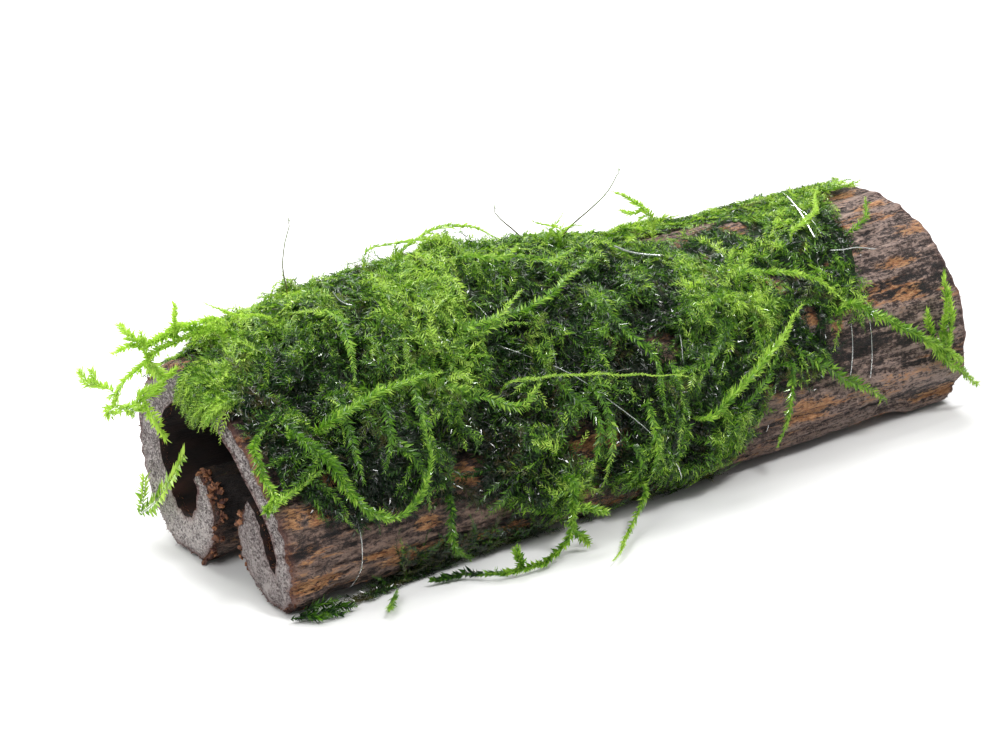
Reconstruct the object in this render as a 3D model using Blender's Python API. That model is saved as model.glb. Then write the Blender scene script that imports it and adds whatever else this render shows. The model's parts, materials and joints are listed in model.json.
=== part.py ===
"""Aquarium moss tied over a short tube of curled bark.

The bark lies along X, sawn square at both ends, on the two feet that its rolled edges make. Leafy moss is
matted over its top and front, long shoots leave the tangle, and one clear line is wound round the whole.
A place on the bark is given by its distance along X and by a station: a number that runs round the section,
from the lip inside the back roll, under the back foot, up the back, over the top, down the front, under the
front foot and up to the front lip. Sizes are in millimetres, turned into metres when a mesh is made.
"""
import math

import bmesh
import bpy
import numpy as np

MM = 0.001

# Bark: the sheet's outer and inner skin at each station, as (y, z), looking along the log from its near end
LOG_LENGTH = 140.0
NEAR_END = -LOG_LENGTH / 2
FAR_END = LOG_LENGTH / 2
OUTER_SKIN = (
    (4.4, 16.2), (0.9, 13.6), (-0.1, 9.0), (0.3, 4.6), (3.6, 0.9), (9.0, 0.0), (13.8, 2.4),
    (17.6, 6.6), (20.4, 11.6), (21.6, 17.6), (20.8, 23.4), (17.6, 28.2), (12.4, 31.2), (6.4, 31.9),
    (0.2, 30.2), (-5.6, 27.0), (-11.2, 22.6), (-16.0, 18.4), (-19.3, 13.8), (-21.2, 8.8), (-21.5, 4.2),
    (-19.2, 0.5), (-15.4, 0.0), (-11.0, 2.0), (-7.4, 5.0), (-6.0, 8.8), (-6.8, 13.0), (-8.4, 16.2),
)
INNER_SKIN = (
    (5.8, 14.4), (4.4, 12.4), (4.8, 9.8), (6.2, 8.0), (7.6, 7.4), (9.4, 7.6), (11.2, 9.2),
    (13.0, 11.6), (14.4, 14.2), (14.9, 17.6), (14.4, 21.0), (12.8, 23.8), (10.6, 25.6), (6.6, 26.4),
    (1.6, 25.8), (-3.6, 23.6), (-8.4, 20.2), (-12.6, 16.6), (-15.6, 13.0), (-17.2, 9.6), (-17.4, 7.4),
    (-16.4, 7.0), (-15.2, 8.0), (-14.4, 9.8), (-13.8, 11.6), (-13.0, 13.2), (-11.8, 14.6), (-9.8, 16.4),
)
LAST_STATION = len(OUTER_SKIN) - 1
FULLER_FRONT = 4.4        # the front shoulder swells by this much towards the far end
FRONT_SHOULDER = 16.0     # its station
SHOULDER_REACH = 2.6      # and how many stations it spreads over
FOOT_TUCK = 2.2           # the front foot's outer edge is rounded in by this much at the far end
TUCK_STATION = 20.3
TUCK_START = 10.0
FOOT_TRIM = 0.4           # worn off the lowest side, so the feet are flat
ARCH = 1.7                # the underside rises between the feet's two ends, where the line passes
ARCH_NEAR = (-66.0, -61.0)
ARCH_FAR = (55.0, 60.0)
FURROW = 0.8              # depth of the furrows along the bark
HOLLOWS = 0.5             # depth of the broad hollows worn in it
LIP_WANDER = 0.35

# Moss: where its hems run, as (x, station), and how thick it stands, as (x, thickness)
FRONT_HEM = (
    (-73, 16.5), (-66, 17.0), (-59, 17.8), (-54, 18.4), (-48, 18.1), (-41, 17.8), (-34, 18.7), (-27, 19.6),
    (-19, 20.3), (-10, 20.6), (-3, 20.1), (8, 20.7), (20, 20.9), (28, 20.4), (33, 19.0), (42, 18.5),
    (47, 17.6), (50, 16.4), (54, 14.9), (60, 13.6), (68, 13.1),
)
BACK_HEM = ((-73, 10.8), (-55, 9.4), (-40, 8.9), (-25, 9.3), (-10, 8.6), (5, 8.9), (20, 9.4), (35, 9.0),
            (45, 9.6), (55, 10.4), (68, 11.6))
TOP_THICKNESS = ((-73, 2.0), (-64, 3.2), (-54, 3.2), (-46, 5.4), (-38, 6.8), (-24, 7.6), (-15, 8.4), (-8, 6.8),
                 (2, 5.0), (10, 4.8), (16, 2.6), (26, 1.8), (50, 1.9), (60, 1.3), (68, 1.1))
FRONT_THICKNESS = ((-73, 2.2), (-60, 4.2), (-45, 5.8), (-30, 6.4), (-10, 5.6), (10, 4.4), (24, 3.6), (40, 2.8),
                   (54, 1.7), (68, 1.1))
BACK_THICKNESS = ((-73, 2.2), (-50, 4.8), (-20, 5.8), (10, 5.2), (40, 3.4), (68, 1.1))
HEM_THICKNESS = 1.1
HEM_SLOPE = 1.5           # stations over which the moss rises from its hem to its full thickness
MAT_LUMPS = 2.3           # the tangle dips by this much between its crests
HEM_WAVE = 0.22           # stations that the hems wander to either side
MAT_GAP = 0.55
MAT_FAR = 68.0
MAT_COLUMNS = 35
MAT_ROWS = 16
FRINGE_GAP = 0.5          # between the sawn face and the moss that hangs over it
FRINGE_OUT = 2.8
FRINGE_DROP = 5.2

# Line: clear, wound from a knot on the back in one long turn to the far end, and back in close turns
LINE_RADIUS = 0.18
LINE_SIDES = 4
LINE_GAP = 0.5
LINE_LIFT = 0.6           # where a close turn steps over the long one
LINE_STEP = 4.0
RING_FRONT = (13.5, 14.25, 15.0, 15.75, 16.5, 17.25, 18.0, 18.75, 19.5, 20.1, 20.6, 21.1, 21.6, 22.1)
RING_BACK = (4.4, 4.9, 5.4, 6.0, 6.8, 7.6, 8.4, 9.2, 10.0, 10.8, 11.6, 12.5)
TURNS_AT_FRONT = (52.0, 44.0, 29.0, 14.0, 0.0, -13.0, -28.0, -42.0, -54.0, -60.0)
FRONT_PHASE = 0.2
KNOT_PHASE = 0.7
KNOT_X = -57.0
KNOT_RADIUS = 0.8
LONG_TURN_PITCH = 110.0
TURN_TILT = 4.0
TILT_REACH = 34.0

# Shoots that lie over the moss or hang down the bark: (x, station, height over the moss or the bare bark)
SHOOT_RADIUS = 1.0
STALK_RADIUS = 0.4
LAID_SHOOTS = {
    "shoot_front_loop": [(-64, 16.2, 2.6), (-61.5, 17.2, 3.4), (-59, 18.1, 4.6), (-55, 18.5, 5.0),
                         (-51, 18.4, 5.0), (-47.5, 17.8, 4.2), (-46, 17.0, 2.8)],
    "shoot_bright_cross": [(-58, 15.9, 2.6), (-47, 15.6, 3.6), (-36, 15.6, 3.4)],
    "shoot_long_straight": [(-27, 16.3, 2.6), (-12, 16.9, 3.6), (4, 17.3, 3.6)],
    "shoot_near_loop": [(-66, 15.6, 2.4), (-69.5, 16.3, 2.6), (-71.5, 17.1, 2.4), (-67.5, 17.7, 2.6)],
    "shoot_plume": [(7, 17.9, 2.4), (15, 17.6, 2.8), (23, 17.2, 3.2), (34, 16.5, 4.0)],
    "shoot_far_runner": [(31, 15.1, 2.4), (40, 15.4, 2.8), (45, 16.4, 2.8), (46, 17.2, 2.4)],
    "shoot_far_top": [(46, 14.3, 2.4), (52, 13.6, 2.8), (57, 13.2, 3.6)],
    "shoot_far_sprig": [(56, 15.1, 2.4), (61, 14.6, 2.6)],
    "shoot_hanging_far": [(28, 17.9, 2.4), (26, 19.0, 2.6), (22, 20.3, 2.6)],
    "shoot_hanging_near": [(-42, 18.6, 2.4), (-42, 19.6, 3.0), (-38.5, 20.3, 3.0)],
}

# Shoots that stand out of the moss or lie on the ground: (x, y, z)
FREE_SHOOTS = {
    "shoot_end_spray": [(-62.5, 7.6, 36.2), (-70, 8, 36.6), (-74.8, 8, 35.6), (-79, 7.8, 33.4), (-81.6, 7.6, 29.6)],
    "shoot_end_ladder": [(-72.1, 18.1, 4.6), (-72.1, 11.4, 10.7), (-72.1, 4.4, 19.6)],
    "shoot_end_top": [(-54.6, 6, 36.6), (-59.6, 6.4, 38.4), (-65.3, 8, 41.3)],
    "shoot_stalk_tall": [(-51.6, 4, 36.6), (-53.9, 4, 44.3), (-52.8, 4, 48.9), (-51.8, 4, 53.1)],
    "shoot_top_arc": [(-35, 7, 40.2), (-29.5, 8, 42.4), (-19.3, 8, 44.2), (-13, 8, 42.4), (-8, 8, 40.2)],
    "shoot_stalk_fine": [(-4.6, 6.6, 38.4), (-6.6, 8, 41.0), (-10.1, 8, 44.8)],
    "shoot_stalk_far": [(3.2, 6, 37.4), (6.2, 6, 41.2), (10.5, 6, 43.7), (14.6, 6, 47.3)],
    "shoot_top_sprig": [(22.4, 7.6, 34.8), (20.7, 8, 39.1), (14.6, 8, 42.6)],
    "shoot_far_tip": [(48, -20.7, 22.2), (53, -23.0, 18.8), (61, -24.4, 13.4), (68, -24.2, 8.0), (75, -22.6, 3.6)],
    "shoot_ground_loop": [(-22.5, -28.4, 13.2), (-21.7, -28.2, 8.2), (-23.4, -28.2, 2.6), (-29.0, -29.3, 1.4),
                          (-35.8, -28.8, 1.4), (-39.6, -25.4, 1.4), (-43.0, -23.6, 1.4)],
    "shoot_ground_front": [(-6.0, -26.6, 6.4), (-11.6, -29.6, 2.2), (-19.4, -35.4, 1.3)],
    "shoot_ground_tip": [(-52.4, -24.0, 1.3), (-57.4, -28.8, 1.3)],
    "shoot_ground_near": [(-68.6, -22.9, 1.3), (-61.4, -23.4, 1.3), (-54.6, -23.0, 1.4)],
}
STALKS = ("shoot_stalk_tall", "shoot_stalk_fine", "shoot_stalk_far")
BRANCHES = {
    "shoot_end_spray": [[(-81.2, 7.6, 30.6), (-84, 8, 32.4), (-86.9, 8, 35.3)],
                        [(-81.4, 7.6, 29.8), (-78.6, 8.2, 27.8), (-74.6, 12.2, 25.2), (-72.6, 12.4, 22.6),
                         (-72.4, 9.2, 20.2)],
                        [(-74.6, 8, 35.7), (-76.6, 8, 37.2), (-80.2, 8, 40.6)],
                        [(-69.8, 8, 36.7), (-70.0, 8, 41.5)]],
    "shoot_far_tip": [[(62.4, -24.4, 12.5), (65.6, -23.6, 18.0), (66.0, -22.4, 25.2)]],
    "shoot_top_sprig": [[(21.0, 8, 38.2), (16.6, 8, 38.6)]],
    "shoot_ground_loop": [[(-32.4, -29.2, 1.5), (-34.0, -29.4, 5.2)],
                          [(-21.9, -28.2, 8.4), (-16.2, -29.4, 6.6)],
                          [(-22.4, -28.2, 5.0), (-18.9, -28.4, 1.8)]],
}
SHOOT_SIDES = 5
SHOOT_STEP = 4.2          # between one ring of a shoot's tube and the next
TIP_RADIUS = 0.3
BARK_RINGS = 17
STATION_STEP = 0.5

# Colours, as (red, green, blue), roughness
BARK_FINISH = ((0.085, 0.050, 0.040), 0.75)
MOSS_FINISH = ((0.045, 0.110, 0.020), 0.55)
SHOOT_FINISH = ((0.180, 0.380, 0.050), 0.50)
LINE_FINISH = ((0.820, 0.850, 0.840), 0.15)


def clear_scene():
    """Take away whatever the file already holds."""
    for thing in list(bpy.data.objects):
        bpy.data.objects.remove(thing, do_unlink=True)


def ease(start, end, value):
    """0 before start, 1 after end, and a smooth step between."""
    part = min(max((value - start) / (end - start), 0.0), 1.0)
    return part * part * (3.0 - 2.0 * part)


def along(rows, place):
    """The point at a fractional row number on the smooth curve through rows."""
    rows = np.asarray(rows, float)
    last = len(rows) - 1
    row = int(min(max(math.floor(place), 0), last - 1))
    t = place - row
    b, c = rows[row], rows[row + 1]
    a = rows[row - 1] if row > 0 else 2 * b - c
    d = rows[row + 2] if row + 2 <= last else 2 * c - b
    return 0.5 * (2 * b + (c - a) * t + (2 * a - 5 * b + 4 * c - d) * t**2 + (3 * b - a - 3 * c + d) * t**3)


def read(table, x):
    """A value at x from a table of (x, value)."""
    return float(np.interp(x, [row[0] for row in table], [row[1] for row in table]))


def swell(x, station):
    """How far the front shoulder stands out at x, and the front foot's outer edge draws in."""
    shoulder = FULLER_FRONT * math.exp(-(((station - FRONT_SHOULDER) / SHOULDER_REACH) ** 2))
    tuck = FOOT_TUCK * math.exp(-((station - TUCK_STATION) ** 2))
    return shoulder * ease(NEAR_END, FAR_END, x) - tuck * ease(TUCK_START, FAR_END, x)


def settle(x, point):
    """Trim the feet flat, and lift the underside between the log's two ends."""
    y, z = point
    z = max(z - FOOT_TRIM, 0.0)
    lift = ease(*ARCH_NEAR, x) * (1.0 - ease(*ARCH_FAR, x))
    return np.array([y, z + ARCH * lift * (1.0 - ease(2.0, 8.0, z))])


def skin(x, station, height=0.0):
    """A point over the bark's outer skin, before any furrow is worn in it."""
    point = along(OUTER_SKIN, station)
    ahead = along(OUTER_SKIN, station + 0.05) - along(OUTER_SKIN, station - 0.05)
    normal = np.array([ahead[1], -ahead[0]]) / np.hypot(*ahead)
    y, z = settle(x, point + normal * swell(x, station)) + normal * height
    return np.array([x, y, z])


def wear(x, station):
    """Depth of the furrows and hollows at a place, none of it on the feet or the sawn corners."""
    fine = 0.5 + 0.5 * math.sin(3.7 * station + 0.9 * math.sin(x / 23 + station))
    coarse = 0.5 + 0.5 * math.sin(x / 19 + 1.3 * station)
    off_feet = ease(0.6, 5.0, skin(x, station)[2])
    return (FURROW * fine + HOLLOWS * coarse) * off_feet


def bark_outer(x, station):
    """A point on the furrowed outside."""
    point = skin(x, station, -wear(x, station))
    point[1] += LIP_WANDER * math.sin(x / 21) * (1.0 - ease(1.5, 3.5, min(station, LAST_STATION - station)))
    return point


def bark_inner(x, station):
    """A point on the inside, which follows the swelling of the outside."""
    y, z = along(INNER_SKIN, station)
    grow = 0.8 * swell(x, station)
    ripple = 0.25 * math.sin(x / 9 + 1.7 * station)
    return np.array([x, y - grow * 0.66 + ripple, z - FOOT_TRIM + grow * 0.75])


def moss_hems(x):
    """The stations of the back and front hem at x, which wander a little."""
    wave = HEM_WAVE * math.sin(x / 2.9)
    return read(BACK_HEM, x) + wave, read(FRONT_HEM, x) - wave


def moss_thickness(x, station):
    """How thick the moss stands at a place, before its lumps are taken off, and 0 past its hems."""
    back, front = moss_hems(x)
    inside = min(station - back, front - station)
    body = read(BACK_THICKNESS, x)
    body += (read(TOP_THICKNESS, x) - body) * ease(10.2, 12.6, station)
    body += (read(FRONT_THICKNESS, x) - body) * ease(14.0, 16.2, station)
    if inside < 0.0 or x > MAT_FAR:
        return HEM_THICKNESS * max(0.0, 1.0 + inside) if x <= MAT_FAR else 0.0
    return HEM_THICKNESS + (body - HEM_THICKNESS) * ease(0.0, HEM_SLOPE, inside)


def moss_lump(x, station):
    """0 on the crests of the tangle, 1 in its dips."""
    wave = math.sin(x / 2.4 + 2.1 * math.sin(station * 1.9)) * math.sin(station * 3.3 + 1.4 * math.sin(x / 5.3))
    return 0.5 + 0.5 * wave


def fringe_drop(station):
    """How far the moss hangs over the near sawn face, in two lobes over the mouth of the hollow."""
    reach = ease(12.4, 13.8, station) * (1.0 - ease(16.0, 16.6, station))
    return 0.8 + FRINGE_DROP * reach * (0.8 + 0.2 * math.cos(station * 4.4))


def material(name, finish):
    """A plain surface of one colour."""
    made = bpy.data.materials.new(name)
    made.use_nodes = True
    shader = made.node_tree.nodes["Principled BSDF"]
    shader.inputs["Base Color"].default_value = (*finish[0], 1.0)
    shader.inputs["Roughness"].default_value = finish[1]
    shader.inputs["Metallic"].default_value = 0.0
    made.diffuse_color = (*finish[0], 1.0)
    return made


def solid(name, points, faces, surface, parent):
    """An object from points in millimetres, with its faces turned outwards."""
    mesh = bpy.data.meshes.new(name)
    mesh.from_pydata([tuple(np.asarray(point) * MM) for point in points], [], faces)
    shape = bmesh.new()
    shape.from_mesh(mesh)
    bmesh.ops.recalc_face_normals(shape, faces=shape.faces)
    shape.to_mesh(mesh)
    shape.free()
    mesh.shade_smooth()
    mesh.set_sharp_from_angle(angle=math.radians(50))
    mesh.materials.append(surface)
    made = bpy.data.objects.new(name, mesh)
    bpy.context.scene.collection.objects.link(made)
    made.parent = parent
    return made


def loft(rings):
    """Faces between rings of equal size, each with the next, open at both ends."""
    size = len(rings[0])
    faces = []
    for ring in range(len(rings) - 1):
        for i in range(size):
            j = (i + 1) % size
            low, high = ring * size, (ring + 1) * size
            faces.append((low + i, low + j, high + j, high + i))
    return [point for ring in rings for point in ring], faces


def make_bark(surface, parent):
    """The curled sheet: its section lofted from one sawn end to the other, and closed across its thickness."""
    stations = np.arange(0.0, LAST_STATION + STATION_STEP / 2, STATION_STEP)
    foot_edges = [NEAR_END, ARCH_NEAR[0], ARCH_FAR[1], FAR_END]
    middle = np.linspace(ARCH_NEAR[1], ARCH_FAR[0], BARK_RINGS - len(foot_edges))
    rings = []
    for x in sorted([*foot_edges, *middle]):
        outside = [bark_outer(x, station) for station in stations]
        inside = [bark_inner(x, station) for station in stations]
        rings.append(outside + inside[::-1])
    points, faces = loft(rings)
    count = len(stations)
    for first in (0, len(points) - 2 * count):
        for i in range(count - 1):
            mate = 2 * count - 1 - i
            faces.append((first + i, first + i + 1, first + mate - 1, first + mate))
    return solid("bark_tube", points, faces, surface, parent)


def make_mat(surface, parent):
    """The tangle: one thick sheet over the bark from hem to hem, with a fringe over the near sawn face."""
    columns = np.linspace(NEAR_END + 3.0, MAT_FAR, MAT_COLUMNS)
    under, over = [], []
    face_x = NEAR_END - FRINGE_GAP
    for row in range(MAT_ROWS):
        part = row / (MAT_ROWS - 1)

        def station_at(x):
            back, front = moss_hems(x)
            return back + part * (front - back)

        edge = station_at(NEAR_END)
        drop, thick = fringe_drop(edge), moss_thickness(NEAR_END, edge)
        below = [skin(face_x, edge, -drop), skin(face_x, edge, MAT_GAP)]
        above = [skin(face_x - FRINGE_OUT * 0.7, edge, 0.2 - drop), skin(face_x - FRINGE_OUT, edge, thick * 0.6)]
        for x in columns:
            station = station_at(x)
            height = moss_thickness(x, station)
            lump = MAT_LUMPS * moss_lump(x, station) * ease(HEM_THICKNESS, 3.0, height)
            below.append(skin(x, station, MAT_GAP))
            above.append(skin(x, station, height - lump))
        under.append(below)
        over.append(above)
    rings = [below + above[::-1] for below, above in zip(under, over)]
    points, faces = loft(rings)
    size = len(rings[0])
    for first in (0, len(points) - size):
        for i in range(size // 2 - 1):
            mate = size - 1 - i
            faces.append((first + i, first + i + 1, first + mate - 1, first + mate))
    return solid("moss_mat", points, faces, surface, parent)


def sweep(points, radii, sides):
    """A tube with flat ends along points, its rings carried from one to the next without twist."""
    points = [np.asarray(point, float) for point in points]
    rings = []
    side = None
    for i, point in enumerate(points):
        ahead = points[min(i + 1, len(points) - 1)] - points[max(i - 1, 0)]
        ahead = ahead / np.linalg.norm(ahead)
        if side is None:
            side = np.cross(ahead, (0.31, 0.85, 0.42))
        side = side - ahead * np.dot(side, ahead)
        side = side / np.linalg.norm(side)
        third = np.cross(ahead, side)
        turns = [2 * math.pi * k / sides for k in range(sides)]
        rings.append([point + radii[i] * (math.cos(a) * side + math.sin(a) * third) for a in turns])
    vertices, faces = loft(rings)
    faces.append(tuple(range(sides)))
    faces.append(tuple(range(len(vertices) - sides, len(vertices))))
    return vertices, faces


def shoot_tube(route, thick):
    """A shoot's form: a tube that is full along its length and fine at its tip."""
    length = sum(np.linalg.norm(np.subtract(b, a)) for a, b in zip(route, route[1:]))
    count = max(3, round(length / SHOOT_STEP))
    points, radii = [], []
    for i in range(count + 1):
        part = i / count
        points.append(along(route, part * (len(route) - 1)))
        full = 0.75 + 0.25 * math.sin(math.pi * min(part * 1.4, 1.0))
        radii.append(max(TIP_RADIUS, thick * full * (1.0 - 0.75 * ease(0.7, 1.0, part))))
    return sweep(points, radii, SHOOT_SIDES)


def make_shoot(name, route, surface, parent):
    """One long shoot, its branches joined to it as one solid."""
    thick = STALK_RADIUS if name in STALKS else SHOOT_RADIUS
    made = solid(name, *shoot_tube(route, thick), surface, parent)
    for number, branch in enumerate(BRANCHES.get(name, [])):
        part = solid(f"{name}_branch_{number + 1}", *shoot_tube(branch, thick * 0.9), surface, parent)
        part.hide_render = True
        part.display_type = "WIRE"
        join = made.modifiers.new(f"branch {number + 1}", "BOOLEAN")
        join.operation = "UNION"
        join.object = part
    return made


def over_cover(x, station, height):
    """A point at a height over the moss, or over the bark where it is bare."""
    return skin(x, station, moss_thickness(x, station) + height)


def ring_phases():
    """How far round a turn each of its points lies, from 0 at the top to 1 at the top again."""
    ring = RING_FRONT + RING_BACK
    places = [skin(0.0, station) for station in ring]
    steps = [np.linalg.norm(b - a) for a, b in zip(places, places[1:] + places[:1])]
    return ring, [sum(steps[:i]) / sum(steps) for i in range(len(ring))]


def long_turn_x(turn):
    return KNOT_X + LONG_TURN_PITCH * (turn + 1.0 - KNOT_PHASE)


def close_turn_x(turn):
    base = float(along([(x,) for x in TURNS_AT_FRONT], turn - FRONT_PHASE)[0])
    tilt = TURN_TILT * math.exp(-((base / TILT_REACH) ** 2))
    return base - tilt * math.sin(2 * math.pi * (turn - FRONT_PHASE))


def line_route():
    """The line's points: one long turn to the far end, then close turns back to the knot."""
    ring, phases = ring_phases()
    last_turn = len(TURNS_AT_FRONT) - 2
    marks = []
    for turn in range(-1, 1):
        for station, phase in zip(ring, phases):
            if KNOT_PHASE - 1.0 <= turn + phase <= KNOT_PHASE:
                marks.append((long_turn_x(turn + phase), station, phase, False))
    for turn in range(-1, last_turn + 1):
        for station, phase in zip(ring, phases):
            if KNOT_PHASE - 1.0 < turn + phase <= last_turn + KNOT_PHASE:
                marks.append((close_turn_x(turn + phase), station, phase, True))
    xs = [mark[0] for mark in marks]
    for _ in range(3):
        xs = [xs[0]] + [(a + 2 * b + c) / 4 for a, b, c in zip(xs, xs[1:], xs[2:])] + [xs[-1]]
    points = []
    for x, (_, station, phase, close) in zip(xs, marks):
        height = LINE_GAP + LINE_RADIUS
        if close:
            near = min(abs(x - long_turn_x(phase - 1.0)), abs(x - long_turn_x(phase)))
            height += LINE_LIFT * math.exp(-((near / LINE_STEP) ** 2))
        points.append(over_cover(x, station, height))
    return points


def make_line(surface, parent):
    """The wound line, with both its ends in one small knot."""
    points = line_route()
    knot = (points[0] + points[-1]) / 2
    points = [knot] + points[1:-1] + [knot]
    made = solid("tying_line", *sweep(points, [LINE_RADIUS] * len(points), LINE_SIDES), surface, parent)
    bead = bpy.data.meshes.new("knot")
    shape = bmesh.new()
    bmesh.ops.create_icosphere(shape, subdivisions=1, radius=KNOT_RADIUS * MM)
    shape.to_mesh(bead)
    shape.free()
    guide = bpy.data.objects.new("knot_guide", bead)
    bpy.context.scene.collection.objects.link(guide)
    guide.location = [value * MM for value in knot]
    guide.parent = parent
    guide.hide_render = True
    guide.display_type = "WIRE"
    join = made.modifiers.new("knot", "BOOLEAN")
    join.operation = "UNION"
    join.object = guide
    return made


def centre_over_origin(parent):
    """Move the whole so the middle of its box is over the origin, with its feet on the ground."""
    bpy.context.view_layer.update()
    corners = []
    for thing in bpy.context.scene.objects:
        if thing.type == "MESH":
            corners.extend(thing.matrix_world @ vertex.co for vertex in thing.data.vertices)
    for axis in (0, 1):
        values = [corner[axis] for corner in corners]
        parent.location[axis] = -(min(values) + max(values)) / 2


def main():
    clear_scene()
    parent = bpy.data.objects.new("moss_on_bark", None)
    bpy.context.scene.collection.objects.link(parent)
    bark = material("bark", BARK_FINISH)
    moss = material("moss", MOSS_FINISH)
    leafy = material("shoots", SHOOT_FINISH)
    clear_line = material("line", LINE_FINISH)
    make_bark(bark, parent)
    make_mat(moss, parent)
    for name, route in LAID_SHOOTS.items():
        make_shoot(name, [over_cover(*place) for place in route], leafy, parent)
    for name, route in FREE_SHOOTS.items():
        make_shoot(name, route, leafy, parent)
    make_line(clear_line, parent)
    centre_over_origin(parent)


main()
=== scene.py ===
"""Aquarium moss tied over a curled bark tube: the bark's grain, the moss leaf by leaf, and the clear line."""
import json
import math

import bpy
import numpy as np
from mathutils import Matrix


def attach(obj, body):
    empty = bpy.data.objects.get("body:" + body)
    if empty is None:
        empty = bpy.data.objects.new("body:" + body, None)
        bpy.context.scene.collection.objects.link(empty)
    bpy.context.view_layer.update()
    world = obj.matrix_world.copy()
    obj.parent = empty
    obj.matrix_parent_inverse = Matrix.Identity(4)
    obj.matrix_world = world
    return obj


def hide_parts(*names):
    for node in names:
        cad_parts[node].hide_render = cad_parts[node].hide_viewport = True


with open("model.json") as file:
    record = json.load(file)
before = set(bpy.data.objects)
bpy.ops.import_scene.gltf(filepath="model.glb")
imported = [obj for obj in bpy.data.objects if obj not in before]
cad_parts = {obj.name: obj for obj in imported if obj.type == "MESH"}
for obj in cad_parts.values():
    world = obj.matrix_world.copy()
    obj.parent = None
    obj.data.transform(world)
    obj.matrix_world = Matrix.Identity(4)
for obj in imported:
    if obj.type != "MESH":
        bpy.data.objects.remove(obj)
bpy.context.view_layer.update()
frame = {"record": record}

MM = 0.001
FOOT = np.array([-68.0, 7.8, 0.0])      # the mount's place, measured from the log's own middle
GROUND_SHIFT = np.array(frame["record"]["mounts"][0]["pos_m"]) / MM - FOOT

# Bark, in millimetres from the log's middle: (y, z) of the outer and inner skin at each station
NEAR_END = -70.0
FAR_END = 70.0
OUTER_SKIN = (
    (4.4, 16.2), (0.9, 13.6), (-0.1, 9.0), (0.3, 4.6), (3.6, 0.9), (9.0, 0.0), (13.8, 2.4),
    (17.6, 6.6), (20.4, 11.6), (21.6, 17.6), (20.8, 23.4), (17.6, 28.2), (12.4, 31.2), (6.4, 31.9),
    (0.2, 30.2), (-5.6, 27.0), (-11.2, 22.6), (-16.0, 18.4), (-19.3, 13.8), (-21.2, 8.8), (-21.5, 4.2),
    (-19.2, 0.5), (-15.4, 0.0), (-11.0, 2.0), (-7.4, 5.0), (-6.0, 8.8), (-6.8, 13.0), (-8.4, 16.2),
)
INNER_SKIN = (
    (5.8, 14.4), (4.4, 12.4), (4.8, 9.8), (6.2, 8.0), (7.6, 7.4), (9.4, 7.6), (11.2, 9.2),
    (13.0, 11.6), (14.4, 14.2), (14.9, 17.6), (14.4, 21.0), (12.8, 23.8), (10.6, 25.6), (6.6, 26.4),
    (1.6, 25.8), (-3.6, 23.6), (-8.4, 20.2), (-12.6, 16.6), (-15.6, 13.0), (-17.2, 9.6), (-17.4, 7.4),
    (-16.4, 7.0), (-15.2, 8.0), (-14.4, 9.8), (-13.8, 11.6), (-13.0, 13.2), (-11.8, 14.6), (-9.8, 16.4),
)
LAST_STATION = len(OUTER_SKIN) - 1
FULLER_FRONT = 4.4         # how far the front shoulder stands out at the far end
FRONT_SHOULDER = 16.0
SHOULDER_REACH = 2.6
FOOT_TUCK = 1.3            # how far the front foot's outer edge draws in at the far end
TUCK_STATION = 20.3
TUCK_REACH = 1.0
TUCK_START = 10.0
FOOT_TRIM = 0.4            # how much is worn flat under both feet
ARCH = 1.2                 # how high the underside lifts between its two slopes, given by their x
ARCH_NEAR = (-66.0, -61.0)
ARCH_FAR = (55.0, 60.0)
ARCH_SIDES = (2.0, 8.0)    # heights between which the lift fades up the sides
LIP_WANDER = 0.35          # how far the rolled edges wander up and down along the log
BACK_FLARE = 1.2           # how far the back swells at the near sawn end
FLARE_STATION = 7.5
FLARE_REACH = 2.4
FLARE_END = -50.0
FAR_BULGE = 2.2            # how far the front swells at the far sawn end
BULGE_STATION = 15.5
BULGE_REACH = 2.6
BULGE_START = 35.0
SHORT = 0.05               # the half step, in stations, over which a direction is read

# Moss: its hems and its thickness along the log
FRONT_HEM = (
    (-73, 15.3), (-69, 16.3), (-66, 17.3), (-61, 17.8), (-56, 18.2), (-49, 18.4), (-41, 18.1), (-35, 18.8),
    (-30, 19.3), (-27, 19.8), (-22, 20.0), (-17, 19.7), (-10, 19.5), (-4, 19.8), (-1, 20.1), (6, 20.5),
    (10, 20.2), (14, 19.7), (21, 19.3), (24, 18.4), (29, 18.1), (37, 17.8), (41, 17.5),
    (47, 17.0), (49, 16.3), (52, 15.6), (54.5, 14.6), (58, 13.4), (68, 12.9),
)
BACK_HEM = (
    (-73, 12.9), (-68, 12.7), (-65, 12.0), (-61, 10.4), (-55, 9.4), (-40, 8.9), (-25, 9.3), (-10, 8.6),
    (5, 8.9), (20, 9.4), (35, 9.0), (45, 9.6), (55, 10.4), (68, 11.6),
)
TOP_THICKNESS = (
    (-73, 1.0), (-66, 1.4), (-60, 3.0), (-54, 5.2), (-46, 7.8), (-40, 8.9), (-34, 10.0), (-28, 10.2),
    (-22, 9.2), (-15, 8.4), (-8, 6.8), (2, 4.6), (10, 3.0), (15, 0.9), (20, 0.4), (30, 0.3), (44, 0.4),
    (50, 0.8), (60, 0.7), (68, 0.6),
)
FRONT_THICKNESS = (
    (-73, 2.2), (-60, 4.2), (-45, 5.8), (-30, 6.4), (-10, 5.6), (10, 4.4), (24, 3.6), (40, 2.8), (54, 1.7),
    (68, 1.1),
)
BACK_THICKNESS = ((-73, 2.2), (-50, 4.8), (-20, 5.8), (10, 5.2), (40, 3.4), (68, 1.1))
# Stations between which the back's thickness goes over to the top's, and the top's to the front's
BACK_TO_TOP = (10.2, 12.6)
TOP_TO_FRONT = (14.0, 16.2)
HEM_THICKNESS = 1.1
HEM_SLOPE = 1.5            # how many stations from a hem the moss has its full thickness
HEM_WAVE = 0.22            # how far the hems wander, in stations, and over what length
HEM_WAVE_LENGTH = 2.9
MAT_FAR = 68.0

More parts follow.
